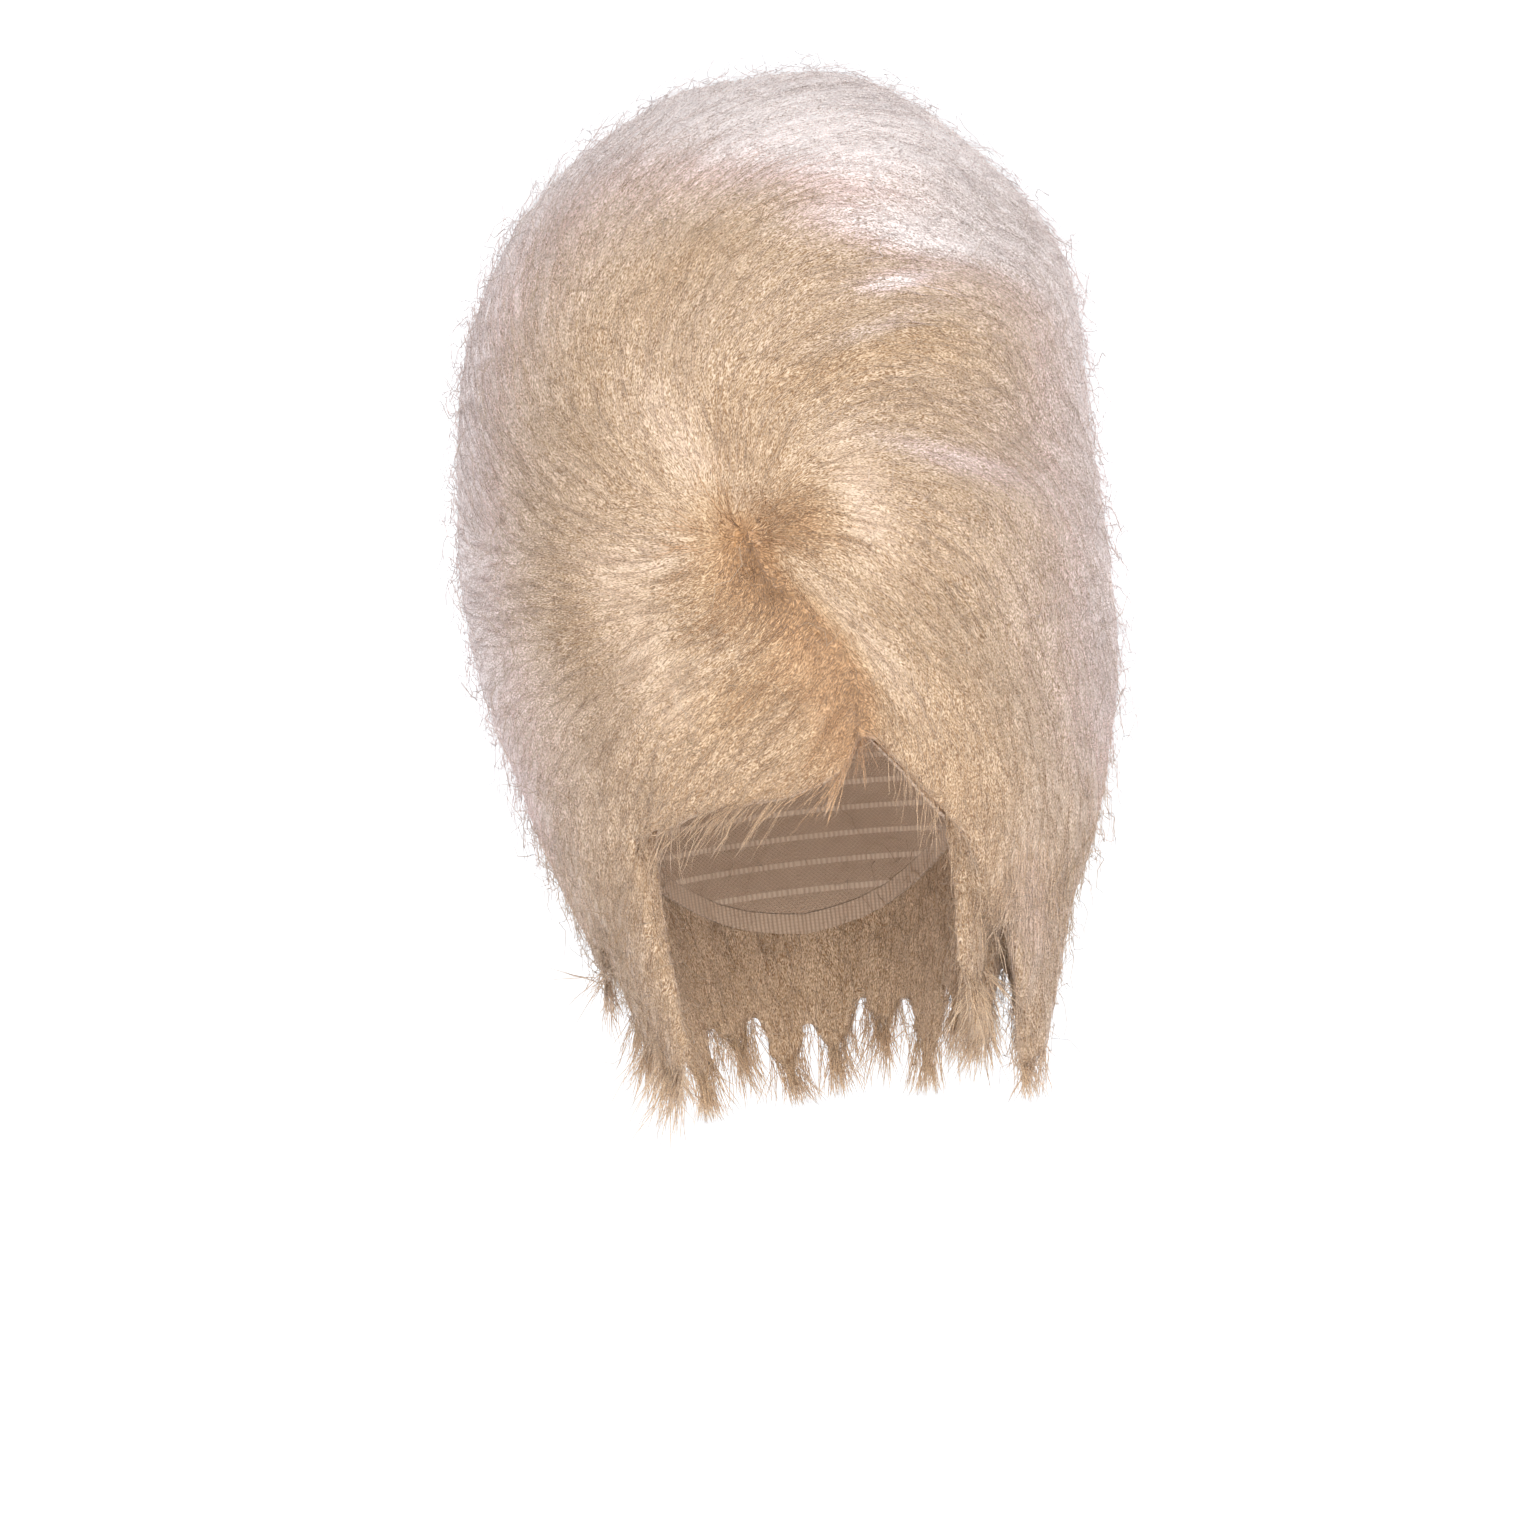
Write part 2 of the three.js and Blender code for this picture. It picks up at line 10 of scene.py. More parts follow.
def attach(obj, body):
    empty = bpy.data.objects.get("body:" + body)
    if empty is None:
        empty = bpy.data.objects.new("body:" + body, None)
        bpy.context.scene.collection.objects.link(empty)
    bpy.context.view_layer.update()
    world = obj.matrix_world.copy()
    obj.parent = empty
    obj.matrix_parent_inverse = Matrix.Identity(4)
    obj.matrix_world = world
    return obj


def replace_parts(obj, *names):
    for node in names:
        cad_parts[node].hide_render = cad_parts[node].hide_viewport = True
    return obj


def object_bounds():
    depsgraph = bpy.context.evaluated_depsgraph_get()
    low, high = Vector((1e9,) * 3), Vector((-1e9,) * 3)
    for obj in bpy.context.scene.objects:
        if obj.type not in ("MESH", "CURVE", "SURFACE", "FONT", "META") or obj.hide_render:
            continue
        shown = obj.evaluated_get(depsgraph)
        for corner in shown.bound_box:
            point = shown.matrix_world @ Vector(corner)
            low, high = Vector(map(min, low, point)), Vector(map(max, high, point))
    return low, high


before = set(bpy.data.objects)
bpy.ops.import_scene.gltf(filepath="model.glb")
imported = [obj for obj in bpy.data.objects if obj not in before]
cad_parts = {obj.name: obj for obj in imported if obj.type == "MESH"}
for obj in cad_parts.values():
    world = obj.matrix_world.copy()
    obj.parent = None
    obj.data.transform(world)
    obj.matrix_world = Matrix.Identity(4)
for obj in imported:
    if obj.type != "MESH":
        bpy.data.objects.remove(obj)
cad_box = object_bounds()

MM = 0.001

# The view. The wig is seen from a little above the level of its middle, straight from the front,
# and it leans to the left of the picture, because the head that wears it is tilted.
VIEW_CENTRE = Vector((-8.2, 0, -68)) * MM
VIEW_WIDTH = 668 * MM  # at the wig's middle
VIEW_DISTANCE = 2200 * MM
VIEW_ELEVATION = math.radians(3)
HEAD_TILT = math.radians(6.8)
SENSOR_WIDTH = 36
VIEW_END = 20  # metres

camera_data = bpy.data.cameras.new("view")
camera_data.sensor_fit = "HORIZONTAL"
camera_data.sensor_width = SENSOR_WIDTH
camera_data.lens = SENSOR_WIDTH * VIEW_DISTANCE / VIEW_WIDTH
camera_data.clip_end = VIEW_END
camera = bpy.data.objects.new("view", camera_data)
bpy.context.scene.collection.objects.link(camera)
towards = Vector((0, math.cos(VIEW_ELEVATION), -math.sin(VIEW_ELEVATION)))
camera.location = VIEW_CENTRE - towards * VIEW_DISTANCE
camera.rotation_mode = "QUATERNION"
upright = towards.to_track_quat("-Z", "Y").to_matrix().to_4x4()
camera.rotation_quaternion = (Matrix.Rotation(HEAD_TILT, 4, towards) @ upright).to_quaternion()
bpy.context.scene.camera = camera


# The cap. A stretch net of fine beige thread, with rows of sewn weft round the head that carry the
# hair. The solid of the cap is right as it is, so it gets the net as a finish, with its threads as bumps.
NET_MESH = 2.4 * MM
WEFT_PITCH = 15 * MM
WEFT_SHARE = 0.2  # of the pitch that a row of weft covers
STITCH = 2.6 * MM
STITCH_BASE = 0.8  # how far a weft stands off the net between its stitches, by the height of a stitch
THREAD_EDGE = 0.6  # where a thread of the net ends and its hole starts,
THREAD_ROUND = 0.2  # and how softly
NET_RISE = 0.6 * MM
NET_ROUGHNESS = 0.85
NET_SHEEN = 0.15
NET_COLOUR = (0.72, 0.54, 0.40, 1)
NET_SHADOW = (0.50, 0.35, 0.24, 1)
WEFT_COLOUR = (0.80, 0.64, 0.50, 1)
HEAD_ROUND = 85 * MM  # the head's mean radius
HEAD_MIDDLE = 100 * MM  # under the crown
HEAD_NARROW = 0.8  # its width by its depth


def plain_material(name, roughness, sheen):
    """A material, its node tree and its shader."""
    material = bpy.data.materials.new(name)
    material.use_nodes = True
    shader = material.node_tree.nodes["Principled BSDF"]
    shader.inputs["Roughness"].default_value = roughness
    shader.inputs["Sheen Weight"].default_value = sheen
    return material, material.node_tree, shader


def worked_out(tree, operation, *values):
    """A sum in a node tree. Each value is a number or the output of a node."""
    node = tree.nodes.new("ShaderNodeMath")
    node.operation = operation
    for socket, value in zip(node.inputs, values):
        if isinstance(value, (int, float)):
            socket.default_value = value
        else:
            tree.links.new(value, socket)
    return node.outputs[0]


def mixed(tree, share, low, high):
    """A colour between two others."""
    node = tree.nodes.new("ShaderNodeMix")
    node.data_type = "RGBA"
    for socket, value in ((node.inputs[0], share), (node.inputs[6], low), (node.inputs[7], high)):
        if isinstance(value, tuple):
            socket.default_value = value
        else:
            tree.links.new(value, socket)
    return node.outputs[2]


def raised(tree, shader, height, depth):
    """Bumps of a depth on the shader."""
    bump = tree.nodes.new("ShaderNodeBump")
    bump.inputs["Distance"].default_value = depth
    tree.links.new(height, bump.inputs["Height"])
    tree.links.new(bump.outputs["Normal"], shader.inputs["Normal"])


def round_the_head_group():
    """Lengths round the head and down from its crown, in metres."""
    group = bpy.data.node_groups.new("round_the_head", "ShaderNodeTree")
    group.interface.new_socket("Place", in_out="INPUT", socket_type="NodeSocketVector")
    group.interface.new_socket("Round", in_out="OUTPUT", socket_type="NodeSocketFloat")
    group.interface.new_socket("Down", in_out="OUTPUT", socket_type="NodeSocketFloat")
    given = group.nodes.new("NodeGroupInput")
    out = group.nodes.new("NodeGroupOutput")
    parts = group.nodes.new("ShaderNodeSeparateXYZ")
    group.links.new(given.outputs["Place"], parts.inputs[0])
    x, y, z = parts.outputs
    y = worked_out(group, "MULTIPLY", y, -HEAD_NARROW)
    azimuth = worked_out(group, "ARCTAN2", x, y)
    squares = worked_out(group, "MULTIPLY_ADD", x, x, worked_out(group, "MULTIPLY", y, y))
    flat = worked_out(group, "SQRT", squares)
    angle = worked_out(group, "ARCTAN2", flat, worked_out(group, "ADD", z, HEAD_MIDDLE))
    group.links.new(worked_out(group, "MULTIPLY", azimuth, HEAD_ROUND), out.inputs["Round"])
    group.links.new(worked_out(group, "MULTIPLY", angle, HEAD_MIDDLE), out.inputs["Down"])
    return group


round_the_head = round_the_head_group()


def lengths_on_head(tree):
    """The two lengths, at the place that is shaded."""
    place = tree.nodes.new("ShaderNodeTexCoord")
    lengths = tree.nodes.new("ShaderNodeGroup")
    lengths.node_tree = round_the_head
    tree.links.new(place.outputs["Object"], lengths.inputs["Place"])
    return lengths.outputs["Round"], lengths.outputs["Down"]


def ridges(tree, length, pitch):
    """Waves from 0 to 1 along a length, as wide as the pitch."""
    wave = worked_out(tree, "SINE", worked_out(tree, "MULTIPLY", length, math.pi / pitch))
    return worked_out(tree, "ABSOLUTE", wave)


def net_finish():
    """Threads that cross at a slant with holes between them, and a stitched weft on every row."""
    material, tree, shader = plain_material("cap_net", NET_ROUGHNESS, NET_SHEEN)
    around, down = lengths_on_head(tree)
    one_way = ridges(tree, worked_out(tree, "ADD", around, down), NET_MESH)
    other_way = ridges(tree, worked_out(tree, "SUBTRACT", around, down), NET_MESH)
    hole = worked_out(tree, "MINIMUM", one_way, other_way)
    thread = worked_out(tree, "SUBTRACT", 1, worked_out(tree, "SMOOTH_MIN", hole, THREAD_EDGE, THREAD_ROUND))
    row = worked_out(tree, "PINGPONG", worked_out(tree, "DIVIDE", down, WEFT_PITCH), 0.5)
    weft = worked_out(tree, "LESS_THAN", row, WEFT_SHARE / 2)
    stitch = ridges(tree, around, STITCH)
    sewn = worked_out(tree, "MULTIPLY", weft, worked_out(tree, "ADD", stitch, STITCH_BASE))
    height = worked_out(tree, "MAXIMUM", thread, sewn)
    net_colour = mixed(tree, thread, NET_SHADOW, NET_COLOUR)
    weft_colour = mixed(tree, stitch, NET_COLOUR, WEFT_COLOUR)
    tree.links.new(mixed(tree, weft, net_colour, weft_colour), shader.inputs["Base Color"])
    raised(tree, shader, height, NET_RISE)
    return material


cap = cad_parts["wig_cap"]
cap.data.materials.clear()
cap.data.materials.append(net_finish())


# The elastic band on the cap's rim. A woven band with a soft satin face, ribbed across its height.
# Its solid is right too, and gets the weave as a finish, with painted shade in its grooves.
BAND_RIB = 2.2 * MM
BAND_WEAVE = 1.5 * MM
BAND_WEAVE_SHARE = 0.4  # of the ribs' height that the weave takes away
BAND_RISE = 0.4 * MM
BAND_ROUGHNESS = 0.5
BAND_SHEEN = 0.3
BAND_COLOUR = (0.74, 0.57, 0.43, 1)
BAND_GROOVE_SHADE = (0.50, 0.35, 0.24, 1)


def elastic_finish():
    """Ribs that run up and down the band, crossed by a fine weave."""
    material, tree, shader = plain_material("elastic_band", BAND_ROUGHNESS, BAND_SHEEN)
    around, down = lengths_on_head(tree)
    rib = ridges(tree, around, BAND_RIB)
    weave = ridges(tree, down, BAND_WEAVE)
    woven = worked_out(tree, "MULTIPLY_ADD", weave, BAND_WEAVE_SHARE, 1 - BAND_WEAVE_SHARE)
    face = worked_out(tree, "MULTIPLY", rib, woven)
    # Painted shade: the grooves between the ribs and in the weave get the darker colour.
    tree.links.new(mixed(tree, face, BAND_GROOVE_SHADE, BAND_COLOUR), shader.inputs["Base Color"])
    raised(tree, shader, face, BAND_RISE)
    return material


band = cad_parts["edge_band"]
band.data.materials.clear()
band.data.materials.append(elastic_finish())


# The run of the hair. It leaves a whorl on the front and a parting that runs down from it, curls
# over the top to the wearer's left, sweeps down both sides, and falls straight at the back.
# x and z are millimetres seen from the front, way is degrees from the wearer's left, up from there.
PARTING = [(-6, 36), (1, 15), (14, 1), (26, -16), (33, -34), (32, -53)]
RUN = [
    {"x": -37, "z": 72, "way": 116},
    {"x": -14, "z": 75, "way": 96},
    {"x": 4, "z": 68, "way": 62},
    {"x": 28, "z": 74, "way": 26},
    {"x": 56, "z": 66, "way": 0},
    {"x": 80, "z": 78, "way": -20},
    {"x": 98, "z": 72, "way": -34},
    {"x": 36, "z": 44, "way": -20},
    {"x": 70, "z": 32, "way": -40},
    {"x": 52, "z": 12, "way": -46},
    {"x": 90, "z": 0, "way": -62},
    {"x": 34, "z": -8, "way": -54},
    {"x": 62, "z": -22, "way": -60},
    {"x": 82, "z": -48, "way": -70},
    {"x": 3, "z": 168, "way": 30},
    {"x": 6, "z": 130, "way": 44},
    {"x": -33, "z": 148, "way": 52},
    {"x": 34, "z": 108, "way": 30},
    {"x": 50, "z": 116, "way": 8},
    {"x": -42, "z": 106, "way": 80},
    {"x": -82, "z": 120, "way": 92},
    {"x": -104, "z": 74, "way": 128},
    {"x": -70, "z": 70, "way": 133},
    {"x": -80, "z": 162, "way": 68},
    {"x": 45, "z": 198, "way": -4},
    {"x": 84, "z": 186, "way": -30},
    {"x": 112, "z": 154, "way": -48},
    {"x": 132, "z": 118, "way": -64},
    {"x": 78, "z": 160, "way": -14},
    {"x": 78, "z": 132, "way": -18},
    {"x": 124, "z": 84, "way": -66},
    {"x": 132, "z": 30, "way": -76},
    {"x": 138, "z": -30, "way": -92},
    {"x": 110, "z": -34, "way": -80},
    {"x": 122, "z": -84, "way": -98},
    {"x": 92, "z": -100, "way": -88},
    {"x": 80, "z": -140, "way": -92},
    {"x": -56, "z": 42, "way": 156},
    {"x": -34, "z": 16, "way": 188},
    {"x": -6, "z": 4, "way": 208},
    {"x": -50, "z": -14, "way": 206},
    {"x": -20, "z": -32, "way": 216},
    {"x": 10, "z": -38, "way": 214},
    {"x": 24, "z": -26, "way": 222},
    {"x": 26, "z": -56, "way": 236},
    {"x": -28, "z": -62, "way": 228},
    {"x": 4, "z": -66, "way": 214},
    {"x": -60, "z": -62, "way": 240},
    {"x": -108, "z": 20, "way": 176},
    {"x": -90, "z": -18, "way": 206},
    {"x": -104, "z": -48, "way": 228},
    {"x": -80, "z": -90, "way": 250},
    {"x": -70, "z": -130, "way": 262},
    {"x": -18, "z": 214, "way": 34},
    {"x": 30, "z": 226, "way": 4},
]
RUN_SOFTNESS = 9  # how far the run blends from one place to the next
RUN_FADING = 1.5  # the power of the square of the distance by which a place's say fades
PARTING_REACH = 30  # how far from the parting its two sides stay apart
WHORL_REACH = 26
WHORL_PULL = 2.4
FALL_FROM = 0 * MM  # the hair starts to fall straight down here, going back,
FALL_FULL = 85 * MM  # and falls straight from here on
FALL = (0.0, 0.2, -1.0)
FRONT_BACKWARDS = 0.1  # how much the run turns back on the front,
SIDE_BACKWARDS = 0.7  # and how much more on the sides and the top
TINY = 1e-9  # the least length that an arrow is divided by

run_places = np.array([(row["x"], row["z"]) for row in RUN], float)
run_ways = np.radians([row["way"] for row in RUN])
run_arrows = np.stack([np.cos(run_ways), np.sin(run_ways)], axis=1)
parting_line = np.array(PARTING, float)


def from_parting(front):
    """How far each place seen from the front lies from the parting, and on which side of it."""
    nearest = np.full(len(front), np.inf)
    side = np.zeros(len(front))
    for start, end in zip(parting_line[:-1], parting_line[1:]):
        along = end - start
        share = np.clip(((front - start) @ along) / (along @ along), 0, 1)
        gap = front - (start + share[:, None] * along)
        length = np.linalg.norm(gap, axis=1)
        closer = length < nearest
        nearest[closer] = length[closer]
        turn = along[0] * gap[:, 1] - along[1] * gap[:, 0]
        side[closer] = np.sign(turn[closer])
    return nearest, side


run_sides = from_parting(run_places)[1]


def smooth_step(value, low, high):
    share = np.clip((value - low) / (high - low), 0, 1)
    return share * share * (3 - 2 * share)


def unit(arrows):
    return arrows / np.maximum(np.linalg.norm(arrows, axis=1), TINY)[:, None]


def run_of_hair(places, normals):
    """Which way the hair runs over the surface, at places on it with these normals."""
    front = places[:, [0, 2]] / MM
    gap, side = from_parting(front)
    apart = front[:, None, :] - run_places[None, :, :]
    weight = 1 / ((apart ** 2).sum(2) + RUN_SOFTNESS ** 2) ** RUN_FADING
    across = (side[:, None] * run_sides[None, :] < 0) * (front[:, None, 1] < parting_line[0][1])
    weight *= 1 - across * np.exp(-(gap / PARTING_REACH) ** 2)[:, None]
    arrow = unit(weight @ run_arrows)
    out = front - parting_line[0]
    reach = np.linalg.norm(out, axis=1)
    arrow = arrow + unit(out) * (WHORL_PULL * np.exp(-(reach / WHORL_REACH) ** 2))[:, None]
    aside = 1 - np.abs(normals[:, 1])
    run = np.stack([arrow[:, 0], FRONT_BACKWARDS + SIDE_BACKWARDS * aside, arrow[:, 1]], axis=1)
    fall = smooth_step(places[:, 1], FALL_FROM, FALL_FULL)[:, None]
    run = run * (1 - fall) + np.array(FALL) * fall
    return unit(run - normals * (run * normals).sum(1)[:, None])


# The mass of the hair. The teased hair under the surface is too dense to see into, so each solid of
# hair is made soft: its mesh is made even, rounded off, and raised into low locks that follow the
# run of the hair. The mass of the beehive runs on under the fringe and the locks, which lie on it.
LOCK_RISE = 0.7 * MM
LOCK_WIDTH = 9 * MM
WISP_RISE = 0.3 * MM
WISP_WIDTH = 3.2 * MM
COMB_STEP = 6 * MM
COMB_STEPS = 5
LOCK_LIGHT_AND_SHADE = 0.35  # how much lighter than the rest a raised lock gets, and darker its hollows, as painted light and shade,
WISP_LIGHT_AND_SHADE = 0.22  # and a wisp
ROUNDING = 0.5
ROUNDING_STEPS = 4
SAME_PLACE = 0.01 * MM
HAIR_NODES = ["crown_hair", "fringe", "side_lock_right", "side_lock_left", "nape_hair"]
MASSES = [
    {"name": "beehive_mass", "replaces": "crown_hair", "from": HAIR_NODES, "mesh": 3.6, "swell": -0.5},
    {"name": "fringe_mass", "replaces": "fringe", "from": ["fringe"], "mesh": 2.6, "swell": 0.2},
    {"name": "side_lock_right_mass", "replaces": "side_lock_right", "from": ["side_lock_right"],
     "mesh": 2, "swell": 0.2},
    {"name": "side_lock_left_mass", "replaces": "side_lock_left", "from": ["side_lock_left"],
     "mesh": 2, "swell": 0.2},
    {"name": "nape_mass", "replaces": "nape_hair", "from": ["nape_hair"], "mesh": 2.5, "swell": 0.2},
]


def new_piece(name, mesh, material):
    """An object of the wig, riding on its only body."""
    piece = bpy.data.objects.new(name, mesh)
    bpy.context.scene.collection.objects.link(piece)
    mesh.materials.clear()
    mesh.materials.append(material)
    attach(piece, "root")
    return piece


def soft_copy(nodes, cell):
    """The nodes' meshes, merged into one, made even and rounded off."""
    form = bmesh.new()
    for node in nodes:
        form.from_mesh(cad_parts[node].data)
    bmesh.ops.remove_doubles(form, verts=form.verts, dist=SAME_PLACE)
    mesh = bpy.data.meshes.new("even")
    form.to_mesh(mesh)
    form.free()
    helper = bpy.data.objects.new("even", mesh)
    bpy.context.scene.collection.objects.link(helper)
    even = helper.modifiers.new("even", "REMESH")
    even.mode = "VOXEL"
    even.voxel_size = cell
    rounded = helper.modifiers.new("round", "SMOOTH")
    rounded.factor = ROUNDING
    rounded.iterations = ROUNDING_STEPS
    depsgraph = bpy.context.evaluated_depsgraph_get()
    soft = bpy.data.meshes.new_from_object(helper.evaluated_get(depsgraph))
    bpy.data.objects.remove(helper)
    return soft


def corners_of(mesh):
    places = np.empty(len(mesh.vertices) * 3)
    mesh.vertices.foreach_get("co", places)
    normals = np.empty(len(mesh.vertices) * 3)
    mesh.vertex_normals.foreach_get("vector", normals)
    return places.reshape(-1, 3), normals.reshape(-1, 3)


def surface_of(meshes):
    """One search tree over several meshes."""
    corners = []
    faces = []
    for mesh in meshes:
        start = len(corners)
        corners += [corner.co.copy() for corner in mesh.vertices]
        faces += [[start + i for i in face.vertices] for face in mesh.polygons]
    return BVHTree.FromPolygons(corners, faces)


def settled(surface, places):
    """The nearest places on the surface, with its normals there."""
    found = [surface.find_nearest(place)[:2] for place in places.tolist()]
    spots = np.array([spot[:] for spot, _ in found])
    normals = np.array([normal[:] for _, normal in found])
    return spots, normals


def grain(places, width):
    """Soft random values, which change over about this width."""
    return np.array([noise.noise(Vector(place) / width) for place in places.tolist()])


def combed(surface, places, normals):
    """Random values drawn out along the run of the hair: one for locks and one for wisps."""
    locks = grain(places, LOCK_WIDTH)
    wisps = grain(places, WISP_WIDTH)
    for direction in (1, -1):
        spots, facing = places, normals
        for _ in range(COMB_STEPS):
            spots = spots + run_of_hair(spots, facing) * direction * COMB_STEP
            spots, facing = settled(surface, spots)
            locks += grain(spots, LOCK_WIDTH)
            wisps += grain(spots, WISP_WIDTH)
    spread = math.sqrt(2 * COMB_STEPS + 1)
    return locks / spread, wisps / spread


for mass in MASSES:
    mass["soft"] = soft_copy(mass["from"], mass["mesh"] * MM)
plain_surface = surface_of([mass["soft"] for mass in MASSES])
for mass in MASSES:
    places, normals = corners_of(mass["soft"])
    locks, wisps = combed(plain_surface, places, normals)
    rise = LOCK_RISE * locks + WISP_RISE * wisps + mass["swell"] * MM
    mass["soft"].vertices.foreach_set("co", (places + normals * rise[:, None]).ravel())
    mass["soft"].update()
    # Painted light and shade: raised locks and wisps are lighter and the hollows between them darker, which
    # also varies the tone from lock to lock.
    mass["tone"] = locks * LOCK_LIGHT_AND_SHADE + wisps * WISP_LIGHT_AND_SHADE
hair_surface = surface_of([mass["soft"] for mass in MASSES])


# The finish of the hair. Platinum blonde synthetic hair: golden at the roots round the whorl and
# the parting, beige over the front, and ivory with a cool cast towards the sides, partly where it is
# brushed out thin and partly as painted rim light. Its tone carries painted light and shade too:
# highlights on the crests, shade in the crease of the parting and low down, rim light at the sides.
HAIR_COLOURS = [
    {"pale": 0.0, "colour": (0.72, 0.39, 0.17, 1)},  # gold
    {"pale": 0.34, "colour": (0.77, 0.56, 0.345, 1)},  # beige
    {"pale": 0.6, "colour": (0.79, 0.61, 0.475, 1)},  # greyish beige
    {"pale": 0.84, "colour": (0.91, 0.715, 0.69, 1)},  # lilac, at the sides, partly painted rim light
    {"pale": 1.0, "colour": (0.98, 0.9, 0.87, 1)},  # white, for painted highlights
]
ROOT_REACH = 34
RIDGE_REACH = 13  # the hair that lies over the parting from its other side is pale almost up to it
FRONT_PALE = 0.34
ROOT_GOLD = 0.31
SIDE_PALE_AND_RIM_LIGHT = 0.42
ROOT_SHADE = 0.5
ROOT_SHADE_REACH = 12
CREASE_SHADE = 0.9
CREASE_REACH = 3
FADES = {  # what changes going from one value to another, and by how much
    "far from the parting": {"from": ROOT_REACH, "to": 100, "change": 0.06},
    "behind": {"from": 0, "to": 70, "change": 1},
    "round to the side": {"from": 0.06, "to": 0.75, "change": 1},
    "out from the middle": {"from": 0.55, "to": 0.75, "change": 1},
    "low on the sides": {"from": 50, "to": 120, "change": 0.6},
    "pale at the back": {"from": 50, "to": 130, "change": 0.4},
    "paler in painted top light": {"from": 130, "to": 215, "change": 0.06},
    "golden in painted shade low down": {"from": 0, "to": 90, "change": 0.09},
    "shade low down": {"from": 10, "to": 150, "change": 0.45},
    "painted rim light at the sides": {"from": -0.5, "to": -0.05, "change": 1.1},
    "painted rim light fading at the back": {"from": 30, "to": 110, "change": 0.8},
}
MASS_TONE = -0.35  # the deep hair lies in the shade of the strands
MIDDLE = np.array([4, 10, 60]) * MM  # of the beehive's upper part
REACHES = np.array([138, 140, 170]) * MM  # from its middle to its sides
# Patches of painted light and shade over the front, each a spot drawn out along a way: painted highlights on
# the crests of the relief, painted shade in its valleys and beside the whorl and the parting, and a painted
# light on the shaded inside of the tail. pale makes the hair paler or more golden there, tone lighter or
# darker.
LIGHT_AND_SHADE_PATCHES = [
    {"x": 66, "z": 131, "long": 15, "wide": 4, "way": 4, "pale": 0.5, "tone": 1.0},
    {"x": 56, "z": 112, "long": 26, "wide": 4, "way": 14, "pale": 0.25, "tone": 0.4},
    {"x": 86, "z": 146, "long": 26, "wide": 8, "way": -12, "pale": 0.4, "tone": 0.6},
    {"x": 64, "z": 158, "long": 40, "wide": 9, "way": -6, "pale": 0.25, "tone": 0.4},
    {"x": 80, "z": 57, "long": 34, "wide": 6, "way": -22, "pale": 0.28, "tone": 0.4},
    {"x": 43, "z": 42, "long": 24, "wide": 11, "way": -76, "pale": 0.06, "tone": 1.6},
    {"x": 30, "z": -6, "long": 28, "wide": 7, "way": -50, "pale": 0.02, "tone": 0.6},
    {"x": 48, "z": -30, "long": 24, "wide": 8, "way": -56, "pale": 0.04, "tone": 0.5},
    {"x": 112, "z": 150, "long": 40, "wide": 14, "way": -52, "pale": 0.15, "tone": 0.0},
    {"x": 46, "z": 194, "long": 58, "wide": 24, "way": -14, "pale": 0.34, "tone": 1.4},
    {"x": -44, "z": 30, "long": 22, "wide": 12, "way": 180, "pale": 0.06, "tone": 0.6},
    {"x": -48, "z": -14, "long": 40, "wide": 13, "way": -68, "pale": 0.0, "tone": 1.1},
    {"x": -28, "z": 74, "long": 30, "wide": 10, "way": 118, "pale": 0.06, "tone": 0.9},
    {"x": -82, "z": 4, "long": 60, "wide": 12, "way": 99, "pale": -0.02, "tone": -0.85},
    {"x": 18, "z": 37, "long": 14, "wide": 12, "way": -40, "pale": -0.24, "tone": -0.8},
    {"x": 1, "z": 9, "long": 15, "wide": 6, "way": -66, "pale": -0.25, "tone": -1.1},
    {"x": -18, "z": 16, "long": 20, "wide": 13, "way": 215, "pale": -0.1, "tone": -0.6},
    {"x": 16, "z": -34, "long": 16, "wide": 9, "way": -60, "pale": -0.1, "tone": -0.2},
    {"x": -12, "z": -30, "long": 26, "wide": 11, "way": 216, "pale": -0.16, "tone": 0.0},
    {"x": 44, "z": 100, "long": 36, "wide": 10, "way": 12, "pale": -0.12, "tone": -0.2},
    {"x": 92, "z": 96, "long": 32, "wide": 12, "way": -28, "pale": -0.1, "tone": -0.2},
    {"x": 0, "z": 158, "long": 50, "wide": 12, "way": 30, "pale": -0.12, "tone": -0.1},
    {"x": 97, "z": -130, "long": 26, "wide": 9, "way": 90, "pale": 0.15, "tone": 1.6},
    {"x": -64, "z": 106, "long": 30, "wide": 12, "way": 70, "pale": -0.04, "tone": -0.4},
]


def light_and_shade_at(front, column):
    """The sum of what the patches of painted light and shade add to a value, at places seen from the front.
    """
    total = np.zeros(len(front))
    for patch in LIGHT_AND_SHADE_PATCHES:
        turn = math.radians(patch["way"])
        offset = front - (patch["x"], patch["z"])
        along = offset @ (math.cos(turn), math.sin(turn))
        across = offset @ (-math.sin(turn), math.cos(turn))
        total += patch[column] * np.exp(-(along / patch["long"]) ** 2 - (across / patch["wide"]) ** 2)
    return total


def faded(name, values):
    """How much a named fade changes at these values."""
    row = FADES[name]
    return smooth_step(values, row["from"], row["to"]) * row["change"]


